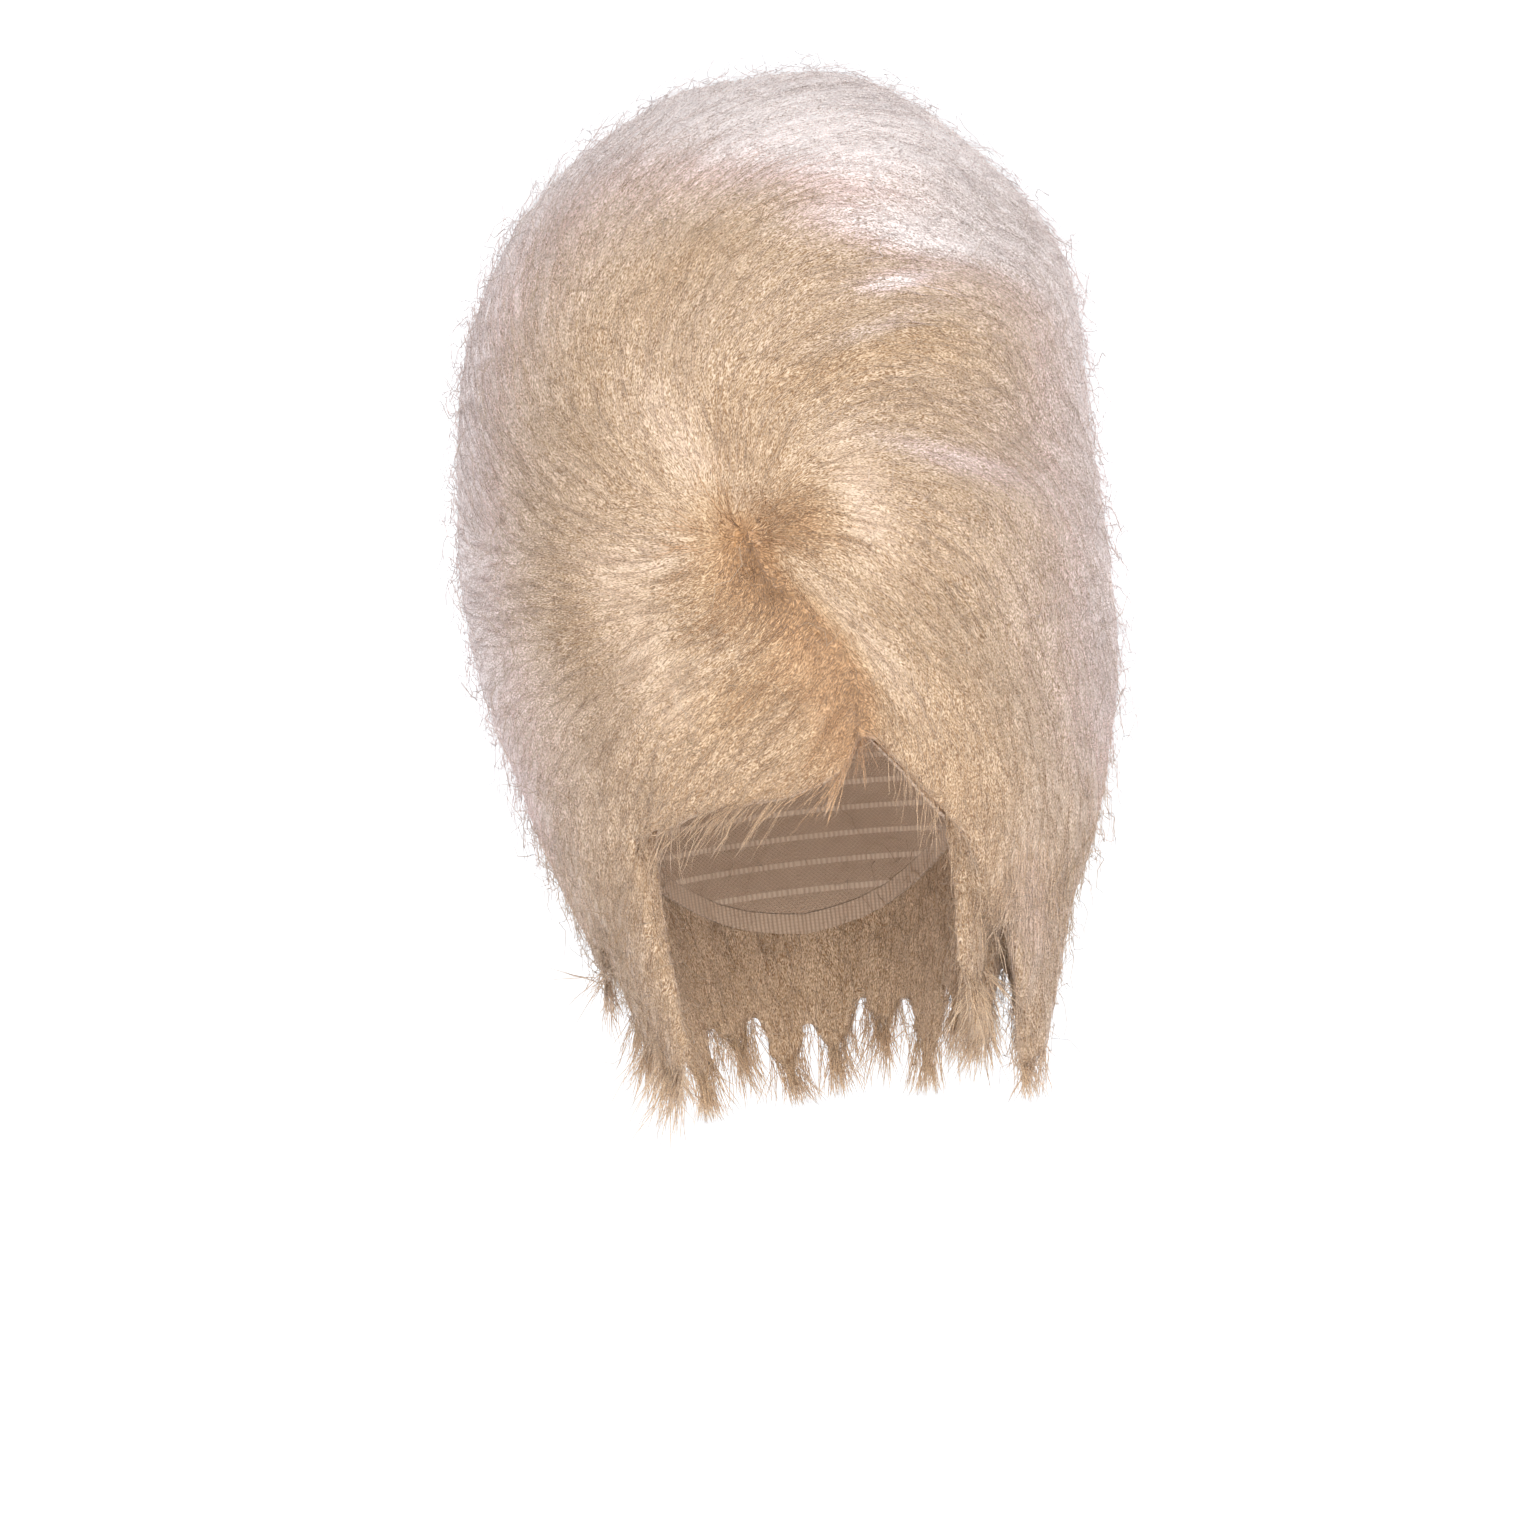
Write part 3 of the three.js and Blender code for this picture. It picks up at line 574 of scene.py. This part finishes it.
def paleness(places):
    """How pale the hair is: 0 at the golden roots, about 0.4 over the front, 0.8 at its sides, where painted
    rim light adds to the thin hair's own paleness.
    """
    front = places[:, [0, 2]] / MM
    gap, side = from_parting(front)
    reach = np.where(side > 0, RIDGE_REACH, ROOT_REACH)
    behind = faded("behind", places[:, 1] / MM)
    roots_near = (1 - smooth_step(gap / reach, 0, 1)) * (1 - behind)
    pale = FRONT_PALE - ROOT_GOLD * roots_near + faded("far from the parting", gap)
    pale += light_and_shade_at(front, "pale") * (1 - behind)
    # Paler towards the sides of the beehive: partly the thin brushed-out hair, partly painted rim light.
    out = (places - MIDDLE) / REACHES
    out[:, 2] = np.maximum(out[:, 2], 0)
    aside = faded("round to the side", 1 + unit(out)[:, 1])
    aside *= faded("out from the middle", np.linalg.norm(out, axis=1))
    aside *= 1 - faded("low on the sides", -front[:, 1])
    aside *= 1 - faded("pale at the back", places[:, 1] / MM)
    # Paler at the top in a painted top light, and more golden low down in painted shade.
    height = faded("paler in painted top light", front[:, 1]) - faded("golden in painted shade low down", -front[:, 1])
    return np.clip(pale + SIDE_PALE_AND_RIM_LIGHT * aside + height, 0, 1)


def painted_light_and_shade(places, normals):
    """The painted light and shade that its place adds to a hair's tone: painted shade at the parting and low
    down, painted highlights and shade from the patches, painted rim light at the sides.
    """
    front = places[:, [0, 2]] / MM
    gap, side = from_parting(front)
    shade = CREASE_SHADE * np.exp(-(gap / CREASE_REACH) ** 2)
    shade += ROOT_SHADE * np.exp(-(gap / ROOT_SHADE_REACH) ** 2) * (side < 0)
    shade += faded("shade low down", -front[:, 1])
    tone = (light_and_shade_at(front, "tone") - shade) * (1 - faded("behind", places[:, 1] / MM))
    # Painted rim light: lighter on the faces that turn to the sides, less so towards the back.
    edge = faded("painted rim light at the sides", normals[:, 1])
    return tone + edge * (1 - faded("painted rim light fading at the back", places[:, 1] / MM))


def keep_values(mesh, **named):
    """Stores a value for each corner under each name, for the material to read."""
    for name, values in named.items():
        values = np.asarray(values, np.float32)
        kind, key = ("FLOAT_VECTOR", "vector") if values.ndim == 2 else ("FLOAT", "value")
        layer = mesh.attributes.new(name, kind, "POINT")
        layer.data.foreach_set(key, values.ravel())


PLAIN_LIGHT = 0.84  # how light a hair of no tone is, by the colours of the table
TONE_LIGHT = 0.2  # how much lighter it gets with its tone
LEAST_LIGHT = 0.35
MOST_LIGHT = 1.25
TONE_PALE = 0.21  # how much paler it gets with its tone
PALE_UP_TO = 0.75  # the tone from which it gets no paler


def hair_colour_group():
    """Turns paleness and tone into the colour of the hair."""
    group = bpy.data.node_groups.new("hair_colour", "ShaderNodeTree")
    group.interface.new_socket("Pale", in_out="INPUT", socket_type="NodeSocketFloat")
    group.interface.new_socket("Tone", in_out="INPUT", socket_type="NodeSocketFloat")
    group.interface.new_socket("Colour", in_out="OUTPUT", socket_type="NodeSocketColor")
    given = group.nodes.new("NodeGroupInput")
    out = group.nodes.new("NodeGroupOutput")
    ramp = group.nodes.new("ShaderNodeValToRGB")
    stops = ramp.color_ramp.elements
    for stop, colour in zip(stops, (HAIR_COLOURS[0], HAIR_COLOURS[-1])):
        stop.color = colour["colour"]
    for colour in HAIR_COLOURS[1:-1]:
        stops.new(colour["pale"]).color = colour["colour"]
    limited = worked_out(group, "MINIMUM", given.outputs["Tone"], PALE_UP_TO)
    pale = worked_out(group, "MULTIPLY_ADD", limited, TONE_PALE, given.outputs["Pale"])
    group.links.new(pale, ramp.inputs["Fac"])
    light = worked_out(group, "MULTIPLY_ADD", given.outputs["Tone"], TONE_LIGHT, PLAIN_LIGHT)
    light = worked_out(group, "MINIMUM", worked_out(group, "MAXIMUM", light, LEAST_LIGHT), MOST_LIGHT)
    shade = group.nodes.new("ShaderNodeHueSaturation")
    group.links.new(light, shade.inputs["Value"])
    group.links.new(ramp.outputs["Color"], shade.inputs["Color"])
    group.links.new(shade.outputs["Color"], out.inputs["Colour"])
    return group


hair_colour = hair_colour_group()

TUFT = 9 * MM  # hairs of one tuft lie side by side, and each tuft lies a little askew
TUFT_RAGGED = 5 * MM
TUFT_RAGGED_LONG = 3 * MM
TUFT_UNLIKE = 40  # how far apart in the noise two tufts may lie
TUFT_ASKEW = math.radians(14)
HAIR_LONG = 1.3 * MM
HAIR_FINE = 0.36 * MM
HAIR_KINK = 0.8 * MM
KINK_LONG = 2.2 * MM
FIBRE_CONTRAST = 7  # the tone of the lightest single hair of the mass
FIBRE_RISE = 0.6 * MM
MOTTLE_LONG = 0.42 * MM
MOTTLE_RISE = 0.25 * MM
STRAND_CONTRAST = 10
HALO_CONTRAST = 2
HAIR_ROUGHNESS = 0.34
HAIR_SHEEN = 0.3
HAIR_SHEEN_ROUGHNESS = 0.5
HAIR_SHEEN_TINT = (0.96, 0.93, 1, 1)
HAIR_GLOSS = 0.7
NOISE_DETAIL = 2


def dotted(tree, one, other):
    node = tree.nodes.new("ShaderNodeVectorMath")
    node.operation = "DOT_PRODUCT"
    tree.links.new(one, node.inputs[0])
    tree.links.new(other, node.inputs[1])
    return node.outputs["Value"]


def vectors(tree, operation, one, other):
    """A sum of vectors in a node tree. The second is an output of a node, a vector or a scale."""
    node = tree.nodes.new("ShaderNodeVectorMath")
    node.operation = operation
    tree.links.new(one, node.inputs[0])
    if operation == "SCALE":
        node.inputs["Scale"].default_value = other
    elif isinstance(other, tuple):
        node.inputs[1].default_value = other
    else:
        tree.links.new(other, node.inputs[1])
    return node.outputs["Vector"]


def fine_noise(tree, vector, scale, output):
    node = tree.nodes.new("ShaderNodeTexNoise")
    node.inputs["Scale"].default_value = scale
    node.inputs["Detail"].default_value = NOISE_DETAIL
    tree.links.new(vector, node.inputs["Vector"])
    return node.outputs[output]


def hair_fibres_group():
    """Single hairs drawn along the run of the hair, tuft by tuft, as values about a half."""
    group = bpy.data.node_groups.new("hair_fibres", "ShaderNodeTree")
    for name in ("Place", "Run", "Normal"):
        group.interface.new_socket(name, in_out="INPUT", socket_type="NodeSocketVector")
    group.interface.new_socket("Fibre", in_out="OUTPUT", socket_type="NodeSocketFloat")
    given = group.nodes.new("NodeGroupInput")
    out = group.nodes.new("NodeGroupOutput")
    place, run = given.outputs["Place"], given.outputs["Run"]
    jitter = fine_noise(group, place, 1 / TUFT_RAGGED_LONG, "Color")
    ragged = vectors(group, "SUBTRACT", jitter, (0.5, 0.5, 0.5))
    ragged = vectors(group, "ADD", place, vectors(group, "SCALE", ragged, TUFT_RAGGED))
    cells = group.nodes.new("ShaderNodeTexVoronoi")
    cells.inputs["Scale"].default_value = 1
    group.links.new(vectors(group, "SCALE", ragged, 1 / TUFT), cells.inputs["Vector"])
    offset = vectors(group, "SUBTRACT", place, vectors(group, "SCALE", cells.outputs["Position"], TUFT))
    aside = vectors(group, "CROSS_PRODUCT", given.outputs["Normal"], run)
    along, across = dotted(group, offset, run), dotted(group, offset, aside)
    chance = group.nodes.new("ShaderNodeSeparateXYZ")
    group.links.new(cells.outputs["Color"], chance.inputs[0])
    angle = worked_out(group, "MULTIPLY_ADD", chance.outputs[0], 2 * TUFT_ASKEW, -TUFT_ASKEW)
    sine, cosine = worked_out(group, "SINE", angle), worked_out(group, "COSINE", angle)
    down = worked_out(group, "MULTIPLY", along, cosine)
    down = worked_out(group, "SUBTRACT", down, worked_out(group, "MULTIPLY", across, sine))
    side = worked_out(group, "MULTIPLY", across, cosine)
    side = worked_out(group, "ADD", side, worked_out(group, "MULTIPLY", along, sine))
    kink = fine_noise(group, place, 1 / KINK_LONG, "Fac")
    side = worked_out(group, "ADD", side, worked_out(group, "MULTIPLY", kink, HAIR_KINK))
    hair = group.nodes.new("ShaderNodeCombineXYZ")
    group.links.new(worked_out(group, "DIVIDE", down, HAIR_LONG), hair.inputs[0])
    group.links.new(worked_out(group, "DIVIDE", side, HAIR_FINE), hair.inputs[1])
    group.links.new(worked_out(group, "MULTIPLY", chance.outputs[1], TUFT_UNLIKE), hair.inputs[2])
    group.links.new(fine_noise(group, hair.outputs[0], 1, "Fac"), out.inputs["Fibre"])
    return group


hair_fibres = hair_fibres_group()


def stored(tree, name, output):
    node = tree.nodes.new("ShaderNodeAttribute")
    node.attribute_name = name
    return node.outputs[output]


def hair_material(name):
    """A hair shader, with the links for its colour still to make."""
    material, tree, shader = plain_material(name, HAIR_ROUGHNESS, HAIR_SHEEN)
    shader.inputs["Sheen Roughness"].default_value = HAIR_SHEEN_ROUGHNESS
    shader.inputs["Sheen Tint"].default_value = HAIR_SHEEN_TINT
    shader.inputs["Specular IOR Level"].default_value = HAIR_GLOSS
    colour = tree.nodes.new("ShaderNodeGroup")
    colour.node_tree = hair_colour
    tree.links.new(stored(tree, "pale", "Fac"), colour.inputs["Pale"])
    tree.links.new(colour.outputs["Colour"], shader.inputs["Base Color"])
    return material, tree, shader, colour


def mass_finish():
    """The deep hair, with single hairs as streaks of light and shade and as bumps."""
    material, tree, shader, colour = hair_material("hair_mass")
    place = tree.nodes.new("ShaderNodeTexCoord")
    form = tree.nodes.new("ShaderNodeNewGeometry")
    fibres = tree.nodes.new("ShaderNodeGroup")
    fibres.node_tree = hair_fibres
    tree.links.new(place.outputs["Object"], fibres.inputs["Place"])
    tree.links.new(stored(tree, "run", "Vector"), fibres.inputs["Run"])
    tree.links.new(form.outputs["Normal"], fibres.inputs["Normal"])
    fibre = fibres.outputs["Fibre"]
    streak = worked_out(tree, "MULTIPLY_ADD", fibre, 2 * FIBRE_CONTRAST, -FIBRE_CONTRAST)
    tone = worked_out(tree, "ADD", stored(tree, "tone", "Fac"), streak)
    tree.links.new(tone, colour.inputs["Tone"])
    raised(tree, shader, fibre, FIBRE_RISE)
    return material


def strand_finish(name, contrast):
    """A single hair, whose tone varies along it."""
    material, tree, shader, colour = hair_material(name)
    place = tree.nodes.new("ShaderNodeTexCoord")
    mottle = fine_noise(tree, place.outputs["Object"], 1 / MOTTLE_LONG, "Fac")
    tone = worked_out(tree, "MULTIPLY_ADD", mottle, 2 * contrast, -contrast)
    tree.links.new(worked_out(tree, "ADD", stored(tree, "tone", "Fac"), tone), colour.inputs["Tone"])
    raised(tree, shader, mottle, MOTTLE_RISE)
    return material


mass_material = mass_finish()
for mass in MASSES:
    places, normals = corners_of(mass["soft"])
    run = run_of_hair(places, normals)
    tone = mass["tone"] + MASS_TONE + painted_light_and_shade(places, normals)
    keep_values(mass["soft"], pale=paleness(places), tone=tone, run=run)
    mass["soft"].shade_smooth()
    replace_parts(new_piece(mass["name"], mass["soft"], mass_material), mass["replaces"])


# The strands. Thin crimped hairs that lie on the mass in layers: long ones combed along the run,
# short frizz that crosses it, a halo of down, loose ends at the tips of the locks, and curly
# flyaways. Each is a closed spindle with three sides, and they are joined into a few pieces.
# Lengths are in millimetres, and stray, which turns a hair off the run, is in degrees.
STRAND_SEED = 7
STRAND_KINDS = {
    "combed": {"count": 13000, "length": 24, "corners": 5, "wide": 0.36, "stray": 8, "kink": 0.35,
               "rise": 1.1, "start": 0.1, "tones": 0.3, "tone": 0.1, "pale": 0.0, "bend": 1.5, "coil": 0},
    "frizz": {"count": 15000, "length": 6.5, "corners": 4, "wide": 0.36, "stray": 28, "kink": 0.5,
              "rise": 1.3, "start": 0.2, "tones": 0.35, "tone": 0.3, "pale": 0.0, "bend": 1.5, "coil": 0},
    "down": {"count": 8500, "length": 10, "corners": 5, "wide": 0.24, "stray": 70, "kink": 1.0,
             "rise": 8.0, "start": 0.0, "tones": 0.4, "tone": -0.8, "pale": 0.05, "bend": 1.0, "coil": 1.2},
    # the loose ends get a painted light, tone 0.8, against the shade they cast on each other
    "ends": {"count": 6500, "length": 30, "corners": 5, "wide": 0.38, "stray": 10, "kink": 0.9,
             "rise": 1.6, "start": 0.0, "tones": 0.5, "tone": 0.8, "pale": -0.1, "bend": 1.5, "coil": 0},
    "flyaways": {"count": 2600, "length": 30, "corners": 10, "wide": 0.3, "stray": 80, "kink": 0.7,
                 "rise": 15.0, "start": 0.0, "tones": 0.3, "tone": -1.4, "pale": 0.1, "bend": 1.0,
                 "coil": 2.6},
}
THIN_SPOT = (97, -122)  # between the wearer's left lock and the tail, where loose ends hang closer
THIN_REACH = 14
THIN_SHARE = 1.2
HALO_KINDS = ("down", "flyaways")  # they stand off the sides and the top more than off the front
HALO_FRONT = 1.12
HALO_TONE = 1.2
COIL_LONG = 17 * MM  # how far along a hair one turn of its coil takes
ROOT_SPREAD = 1.3 * MM
LENGTHS = (0.55, 1.4)  # the shortest and the longest hair of a kind, by the kind's length
RISES = (0.2, 1)
WIDTHS = (0.7, 1.25)
ROOT_KINK = 0.3  # of the kink at the tip of a hair
MASS_SHARE = 0.8  # of the tone of the mass that a hair takes over
TAPER_LEAN = 0.8  # under 1, a hair is widest on the side of its root
TAPER_ROUND = 0.5
FRONT_SHARE = 1.8  # how much closer the strands stand on the front than on the back
HEAD_CENTRE = np.array([4, 8, -60]) * MM
INWARDS = -0.1  # no strand grows from a face that looks in towards the head more than this,
INSIDE_FROM = -105 * MM  # but under this height the inner side of the locks shows and has strands
TIP_REACH = 16 * MM  # from the tips of the locks, where the loose ends grow
TIP_OFF = TIP_REACH / 3  # how far off the mass the hair ends up, going that far, near a tip
LOOSE_SHARE = 0.5  # where a hair gets off the mass by more than this share of its step
LOOSE_ROOM = 0.5 * MM  # and this length, it isn't laid back on it
UNDERSIDE = -0.6  # no strand grows from a face that looks down more than this
SIDES = {"front_right": (-1, -1), "front_left": (-1, 1), "back_right": (1, -1), "back_left": (1, 1)}
SIDE_SPLIT = 10 * MM  # between front and back
BOX_ROOM = 15 * MM
draws = np.random.default_rng(STRAND_SEED)


def growing_faces():
    """Middles, normals, areas and tones of the faces that strands grow from."""
    rows = []
    for mass in MASSES:
        mesh = mass["soft"]
        count = len(mesh.polygons)
        middles = np.empty(count * 3)
        mesh.polygons.foreach_get("center", middles)
        facing = np.empty(count * 3)
        mesh.polygons.foreach_get("normal", facing)
        areas = np.empty(count)
        mesh.polygons.foreach_get("area", areas)
        first = np.empty(count, int)
        mesh.polygons.foreach_get("loop_start", first)
        corner = np.empty(len(mesh.loops), int)
        mesh.loops.foreach_get("vertex_index", corner)
        tones = mass["tone"][corner[first]]
        places, facing = middles.reshape(-1, 3), facing.reshape(-1, 3)
        apart = places - HEAD_CENTRE
        out = (apart * facing).sum(1) > INWARDS * np.linalg.norm(apart, axis=1)
        if mass["replaces"] != "fringe":
            out |= places[:, 2] < INSIDE_FROM
        out &= facing[:, 2] > UNDERSIDE
        rows.append(np.column_stack([places, facing, areas, tones])[out])
    return np.concatenate(rows)


faces = growing_faces()
ahead = faces[:, :3] + run_of_hair(faces[:, :3], faces[:, 3:6]) * TIP_REACH
near_ahead, _ = settled(hair_surface, ahead)
at_tips = np.linalg.norm(near_ahead - ahead, axis=1) > TIP_OFF


def roots(kind_name, count):
    """Places where strands grow, with their normals and tones."""
    weight = faces[:, 6] * np.where(faces[:, 1] < SIDE_SPLIT, FRONT_SHARE, 1)
    if kind_name == "ends":
        gap = np.linalg.norm(faces[:, [0, 2]] / MM - THIN_SPOT, axis=1)
        weight = faces[:, 6] * (at_tips + THIN_SHARE * np.exp(-(gap / THIN_REACH) ** 2))
    if kind_name in HALO_KINDS:
        weight = faces[:, 6] * (HALO_FRONT - np.abs(faces[:, 4]))
    steps = (np.arange(count) + draws.uniform(0, 1, count)) / count
    chosen = np.searchsorted(np.cumsum(weight) / weight.sum(), steps)
    rows = faces[np.minimum(chosen, len(faces) - 1)]
    spread = draws.normal(0, ROOT_SPREAD, (count, 3))
    facing = rows[:, 3:6]
    spread -= facing * (spread * facing).sum(1)[:, None]
    return rows[:, :3] + spread, facing, rows[:, 7]


def turned(arrows, normals, angles):
    """The arrows, turned about the normals."""
    aside = np.cross(normals, arrows)
    return arrows * np.cos(angles)[:, None] + aside * np.sin(angles)[:, None]


def grow(kind_name, kind):
    """Middle lines of the strands of a kind, and each one's tone and normal."""
    count, corners = kind["count"], kind["corners"]
    places, normals, tones = roots(kind_name, count)
    length = kind["length"] * MM * draws.uniform(*LENGTHS, count)
    stray = np.radians(draws.normal(0, kind["stray"], count))
    rise = kind["rise"] * MM * draws.uniform(*RISES, count)
    step = length / (corners - 1)
    turn = draws.uniform(0, 2 * math.pi, count)
    spots, facing = places.copy(), normals.copy()
    line = []
    for i in range(corners):
        share = i / (corners - 1)
        lift = kind["start"] * MM + rise * share ** kind["bend"]
        kink = draws.normal(0, kind["kink"] * MM, (count, 3)) * (ROOT_KINK + (1 - ROOT_KINK) * share)
        arrow = turned(run_of_hair(spots, facing), facing, stray)
        angle = turn + 2 * math.pi * length * share / COIL_LONG
        coil = arrow * np.cos(angle)[:, None] + np.cross(facing, arrow) * np.sin(angle)[:, None]
        kink += coil * kind["coil"] * MM
        line.append(spots + facing * lift[:, None] + (kink if i else 0))
        ahead = spots + arrow * step[:, None]
        near, facing_near = settled(hair_surface, ahead)
        loose = np.linalg.norm(near - ahead, axis=1) > LOOSE_SHARE * step + LOOSE_ROOM
        loose |= facing_near[:, 2] < UNDERSIDE
        spots = np.where(loose[:, None], ahead, near)
        facing = np.where(loose[:, None], facing, facing_near)
    return within_box(np.stack(line, axis=1)), tones, normals


low = np.array(cad_box[0]) - BOX_ROOM
high = np.array(cad_box[1]) + BOX_ROOM


def within_box(lines):
    """The lines, each drawn in towards its root until none of it leaves the wig's box."""
    root = lines[:, :1]
    move = lines - root
    room = np.where(move > 0, high - root, low - root)
    moves = np.abs(move) > TINY
    share = np.where(moves, room / np.where(moves, move, 1), 1)
    return root + move * np.clip(share.min(axis=(1, 2)), 0, 1)[:, None, None]


def spindles(lines, normals, wide):
    """Corners and faces of closed three-sided strands round the middle lines."""
    count, corners = lines.shape[:2]
    along = np.gradient(lines, axis=1)
    along /= np.maximum(np.linalg.norm(along, axis=2), TINY)[:, :, None]
    aside = np.cross(along, normals[:, None, :])
    aside /= np.maximum(np.linalg.norm(aside, axis=2), TINY)[:, :, None]
    above = np.cross(aside, along)
    inner = corners - 2
    taper = np.sin(np.pi * (np.arange(1, corners - 1) / (corners - 1)) ** TAPER_LEAN) ** TAPER_ROUND
    radius = (wide / 2)[:, None] * taper[None, :]
    rings = []
    for side in range(3):
        turn = math.pi * (0.5 + 2 * side / 3)
        offset = aside[:, 1:-1] * math.cos(turn) + above[:, 1:-1] * math.sin(turn)
        rings.append(lines[:, 1:-1] + offset * radius[:, :, None])
    rings = np.stack(rings, axis=2).reshape(count, inner * 3, 3)
    all_corners = np.concatenate([lines[:, :1], rings, lines[:, -1:]], axis=1)
    size = inner * 3 + 2
    tip = size - 1
    triangles = []
    for a, b in ((0, 1), (1, 2), (2, 0)):
        triangles.append((0, 1 + b, 1 + a))
        last = 1 + 3 * (inner - 1)
        triangles.append((tip, last + a, last + b))
        for ring in range(inner - 1):
            low_ring, high_ring = 1 + 3 * ring, 4 + 3 * ring
            triangles.append((low_ring + a, low_ring + b, high_ring + b))
            triangles.append((low_ring + a, high_ring + b, high_ring + a))
    triangles = np.array(triangles)
    starts = np.arange(count) * size
    all_faces = (starts[:, None, None] + triangles[None, :, :]).reshape(-1, 3)
    return all_corners.reshape(-1, 3), all_faces, size


def strand_mesh(name, lines, normals, tones, pale, wide):
    """One mesh of joined strands, with the values for their finish."""
    corners, triangles, size = spindles(lines, normals, wide)
    mesh = bpy.data.meshes.new(name)
    mesh.vertices.add(len(corners))
    mesh.vertices.foreach_set("co", corners.ravel())
    mesh.loops.add(triangles.size)
    mesh.loops.foreach_set("vertex_index", triangles.ravel())
    mesh.polygons.add(len(triangles))
    mesh.polygons.foreach_set("loop_start", np.arange(len(triangles)) * 3)
    mesh.polygons.foreach_set("loop_total", np.full(len(triangles), 3))
    mesh.update(calc_edges=True)
    mesh.shade_smooth()
    keep_values(mesh, pale=np.repeat(pale, size), tone=np.repeat(tones, size))
    return mesh


strand_material = strand_finish("hair_strands", STRAND_CONTRAST)
halo_material = strand_finish("hair_halo", HALO_CONTRAST)
for kind_name, kind in STRAND_KINDS.items():
    lines, tones, normals = grow(kind_name, kind)
    tones = tones * MASS_SHARE + draws.normal(0, kind["tones"], len(tones))
    tones += painted_light_and_shade(lines[:, 0], normals)
    tones += kind["tone"] * (HALO_TONE - np.abs(normals[:, 1]) if kind_name in HALO_KINDS else 1)
    pale = np.clip(paleness(lines[:, 0]) + kind["pale"], 0, 1)
    wide = kind["wide"] * MM * draws.uniform(*WIDTHS, len(tones))
    back = np.where(lines[:, 0, 1] < SIDE_SPLIT, -1, 1)
    left = np.where(lines[:, 0, 0] < 0, -1, 1)
    for side_name, (is_back, is_left) in SIDES.items():
        chosen = (back == is_back) & (left == is_left)
        name = f"{kind_name}_{side_name}"
        mesh = strand_mesh(name, lines[chosen], normals[chosen], tones[chosen], pale[chosen], wide[chosen])
        material = halo_material if kind_name in HALO_KINDS else strand_material
        new_piece(name, mesh, material)


# The studio: a pale floor that turns up into a far backdrop, a broad soft key from the front and the
# right, a fill from the left, and weak lights from above and from behind on both sides.
FLOOR_HEIGHT = -460 * MM
STUDIO_WIDTH = 5000 * MM
BACKDROP_DISTANCE = 4200 * MM
BACKDROP_HEIGHT = 3200 * MM
CURVE_ROOM = 600 * MM
CURVE = [(0, 0.1, 0.02), (0, 0.1, 0.06), (0, 0.09, 0.09), (0, 0.06, 0.1), (0, 0.02, 0.1)]
LIGHTS = [
    {"name": "key", "at": (0.45, -1.8, 0.9), "size": 1.0, "power": 21, "colour": (1, 0.98, 0.95)},
    {"name": "fill", "at": (-1.3, -1.4, 0.3), "size": 1.2, "power": 5, "colour": (0.98, 0.97, 1)},
    {"name": "top", "at": (0.3, -0.5, 1.6), "size": 0.9, "power": 1.5, "colour": (1, 0.99, 1)},
    {"name": "rim_left", "at": (-1, 1.2, 0.4), "size": 0.8, "power": 4, "colour": (1, 0.95, 0.98)},
    {"name": "rim_right", "at": (1, 1.2, 0.6), "size": 0.8, "power": 4, "colour": (1, 0.95, 0.98)},
]
AIR_LIGHT = 0.62
AIR_COLOUR = (0.96, 0.97, 1, 1)
BACKDROP_COLOUR = (0.93, 0.93, 0.94, 1)
BACKDROP_GLOW = 0.42
BACKDROP_ROUGHNESS = 0.9


def studio_material():
    material, _, shader = plain_material("studio", BACKDROP_ROUGHNESS, 0)
    shader.inputs["Base Color"].default_value = BACKDROP_COLOUR
    shader.inputs["Emission Color"].default_value = (1, 1, 1, 1)
    shader.inputs["Emission Strength"].default_value = BACKDROP_GLOW
    return material


floor_form = bmesh.new()
half = STUDIO_WIDTH / 2
edge = [floor_form.verts.new((side * half, -half, FLOOR_HEIGHT)) for side in (-1, 1)]
line = floor_form.edges.new(edge)
grown_edge = [line]
for move in [(0, half + BACKDROP_DISTANCE - CURVE_ROOM, 0)] + CURVE + [(0, 0, BACKDROP_HEIGHT)]:
    made = bmesh.ops.extrude_edge_only(floor_form, edges=grown_edge)["geom"]
    grown_edge = [part for part in made if isinstance(part, bmesh.types.BMEdge)]
    corners = [part for part in made if isinstance(part, bmesh.types.BMVert)]
    bmesh.ops.translate(floor_form, verts=corners, vec=move)
floor_mesh = bpy.data.meshes.new("studio")
bmesh.ops.recalc_face_normals(floor_form, faces=floor_form.faces)
floor_form.to_mesh(floor_mesh)
floor_form.free()
floor_mesh.shade_smooth()
floor_mesh.materials.append(studio_material())
studio = bpy.data.objects.new("studio", floor_mesh)
bpy.context.scene.collection.objects.link(studio)

for light in LIGHTS:
    lamp = bpy.data.lights.new(light["name"], "AREA")
    lamp.size = light["size"]
    lamp.energy = light["power"]
    lamp.color = light["colour"]
    holder = bpy.data.objects.new(light["name"], lamp)
    holder.location = light["at"]
    holder.rotation_mode = "QUATERNION"
    holder.rotation_quaternion = (-holder.location).to_track_quat("-Z", "Y")
    bpy.context.scene.collection.objects.link(holder)

world = bpy.data.worlds.new("studio_air")
world.use_nodes = True
world.node_tree.nodes["Background"].inputs["Color"].default_value = AIR_COLOUR
world.node_tree.nodes["Background"].inputs["Strength"].default_value = AIR_LIGHT
bpy.context.scene.world = world
bpy.context.scene.view_settings.view_transform = "Standard"
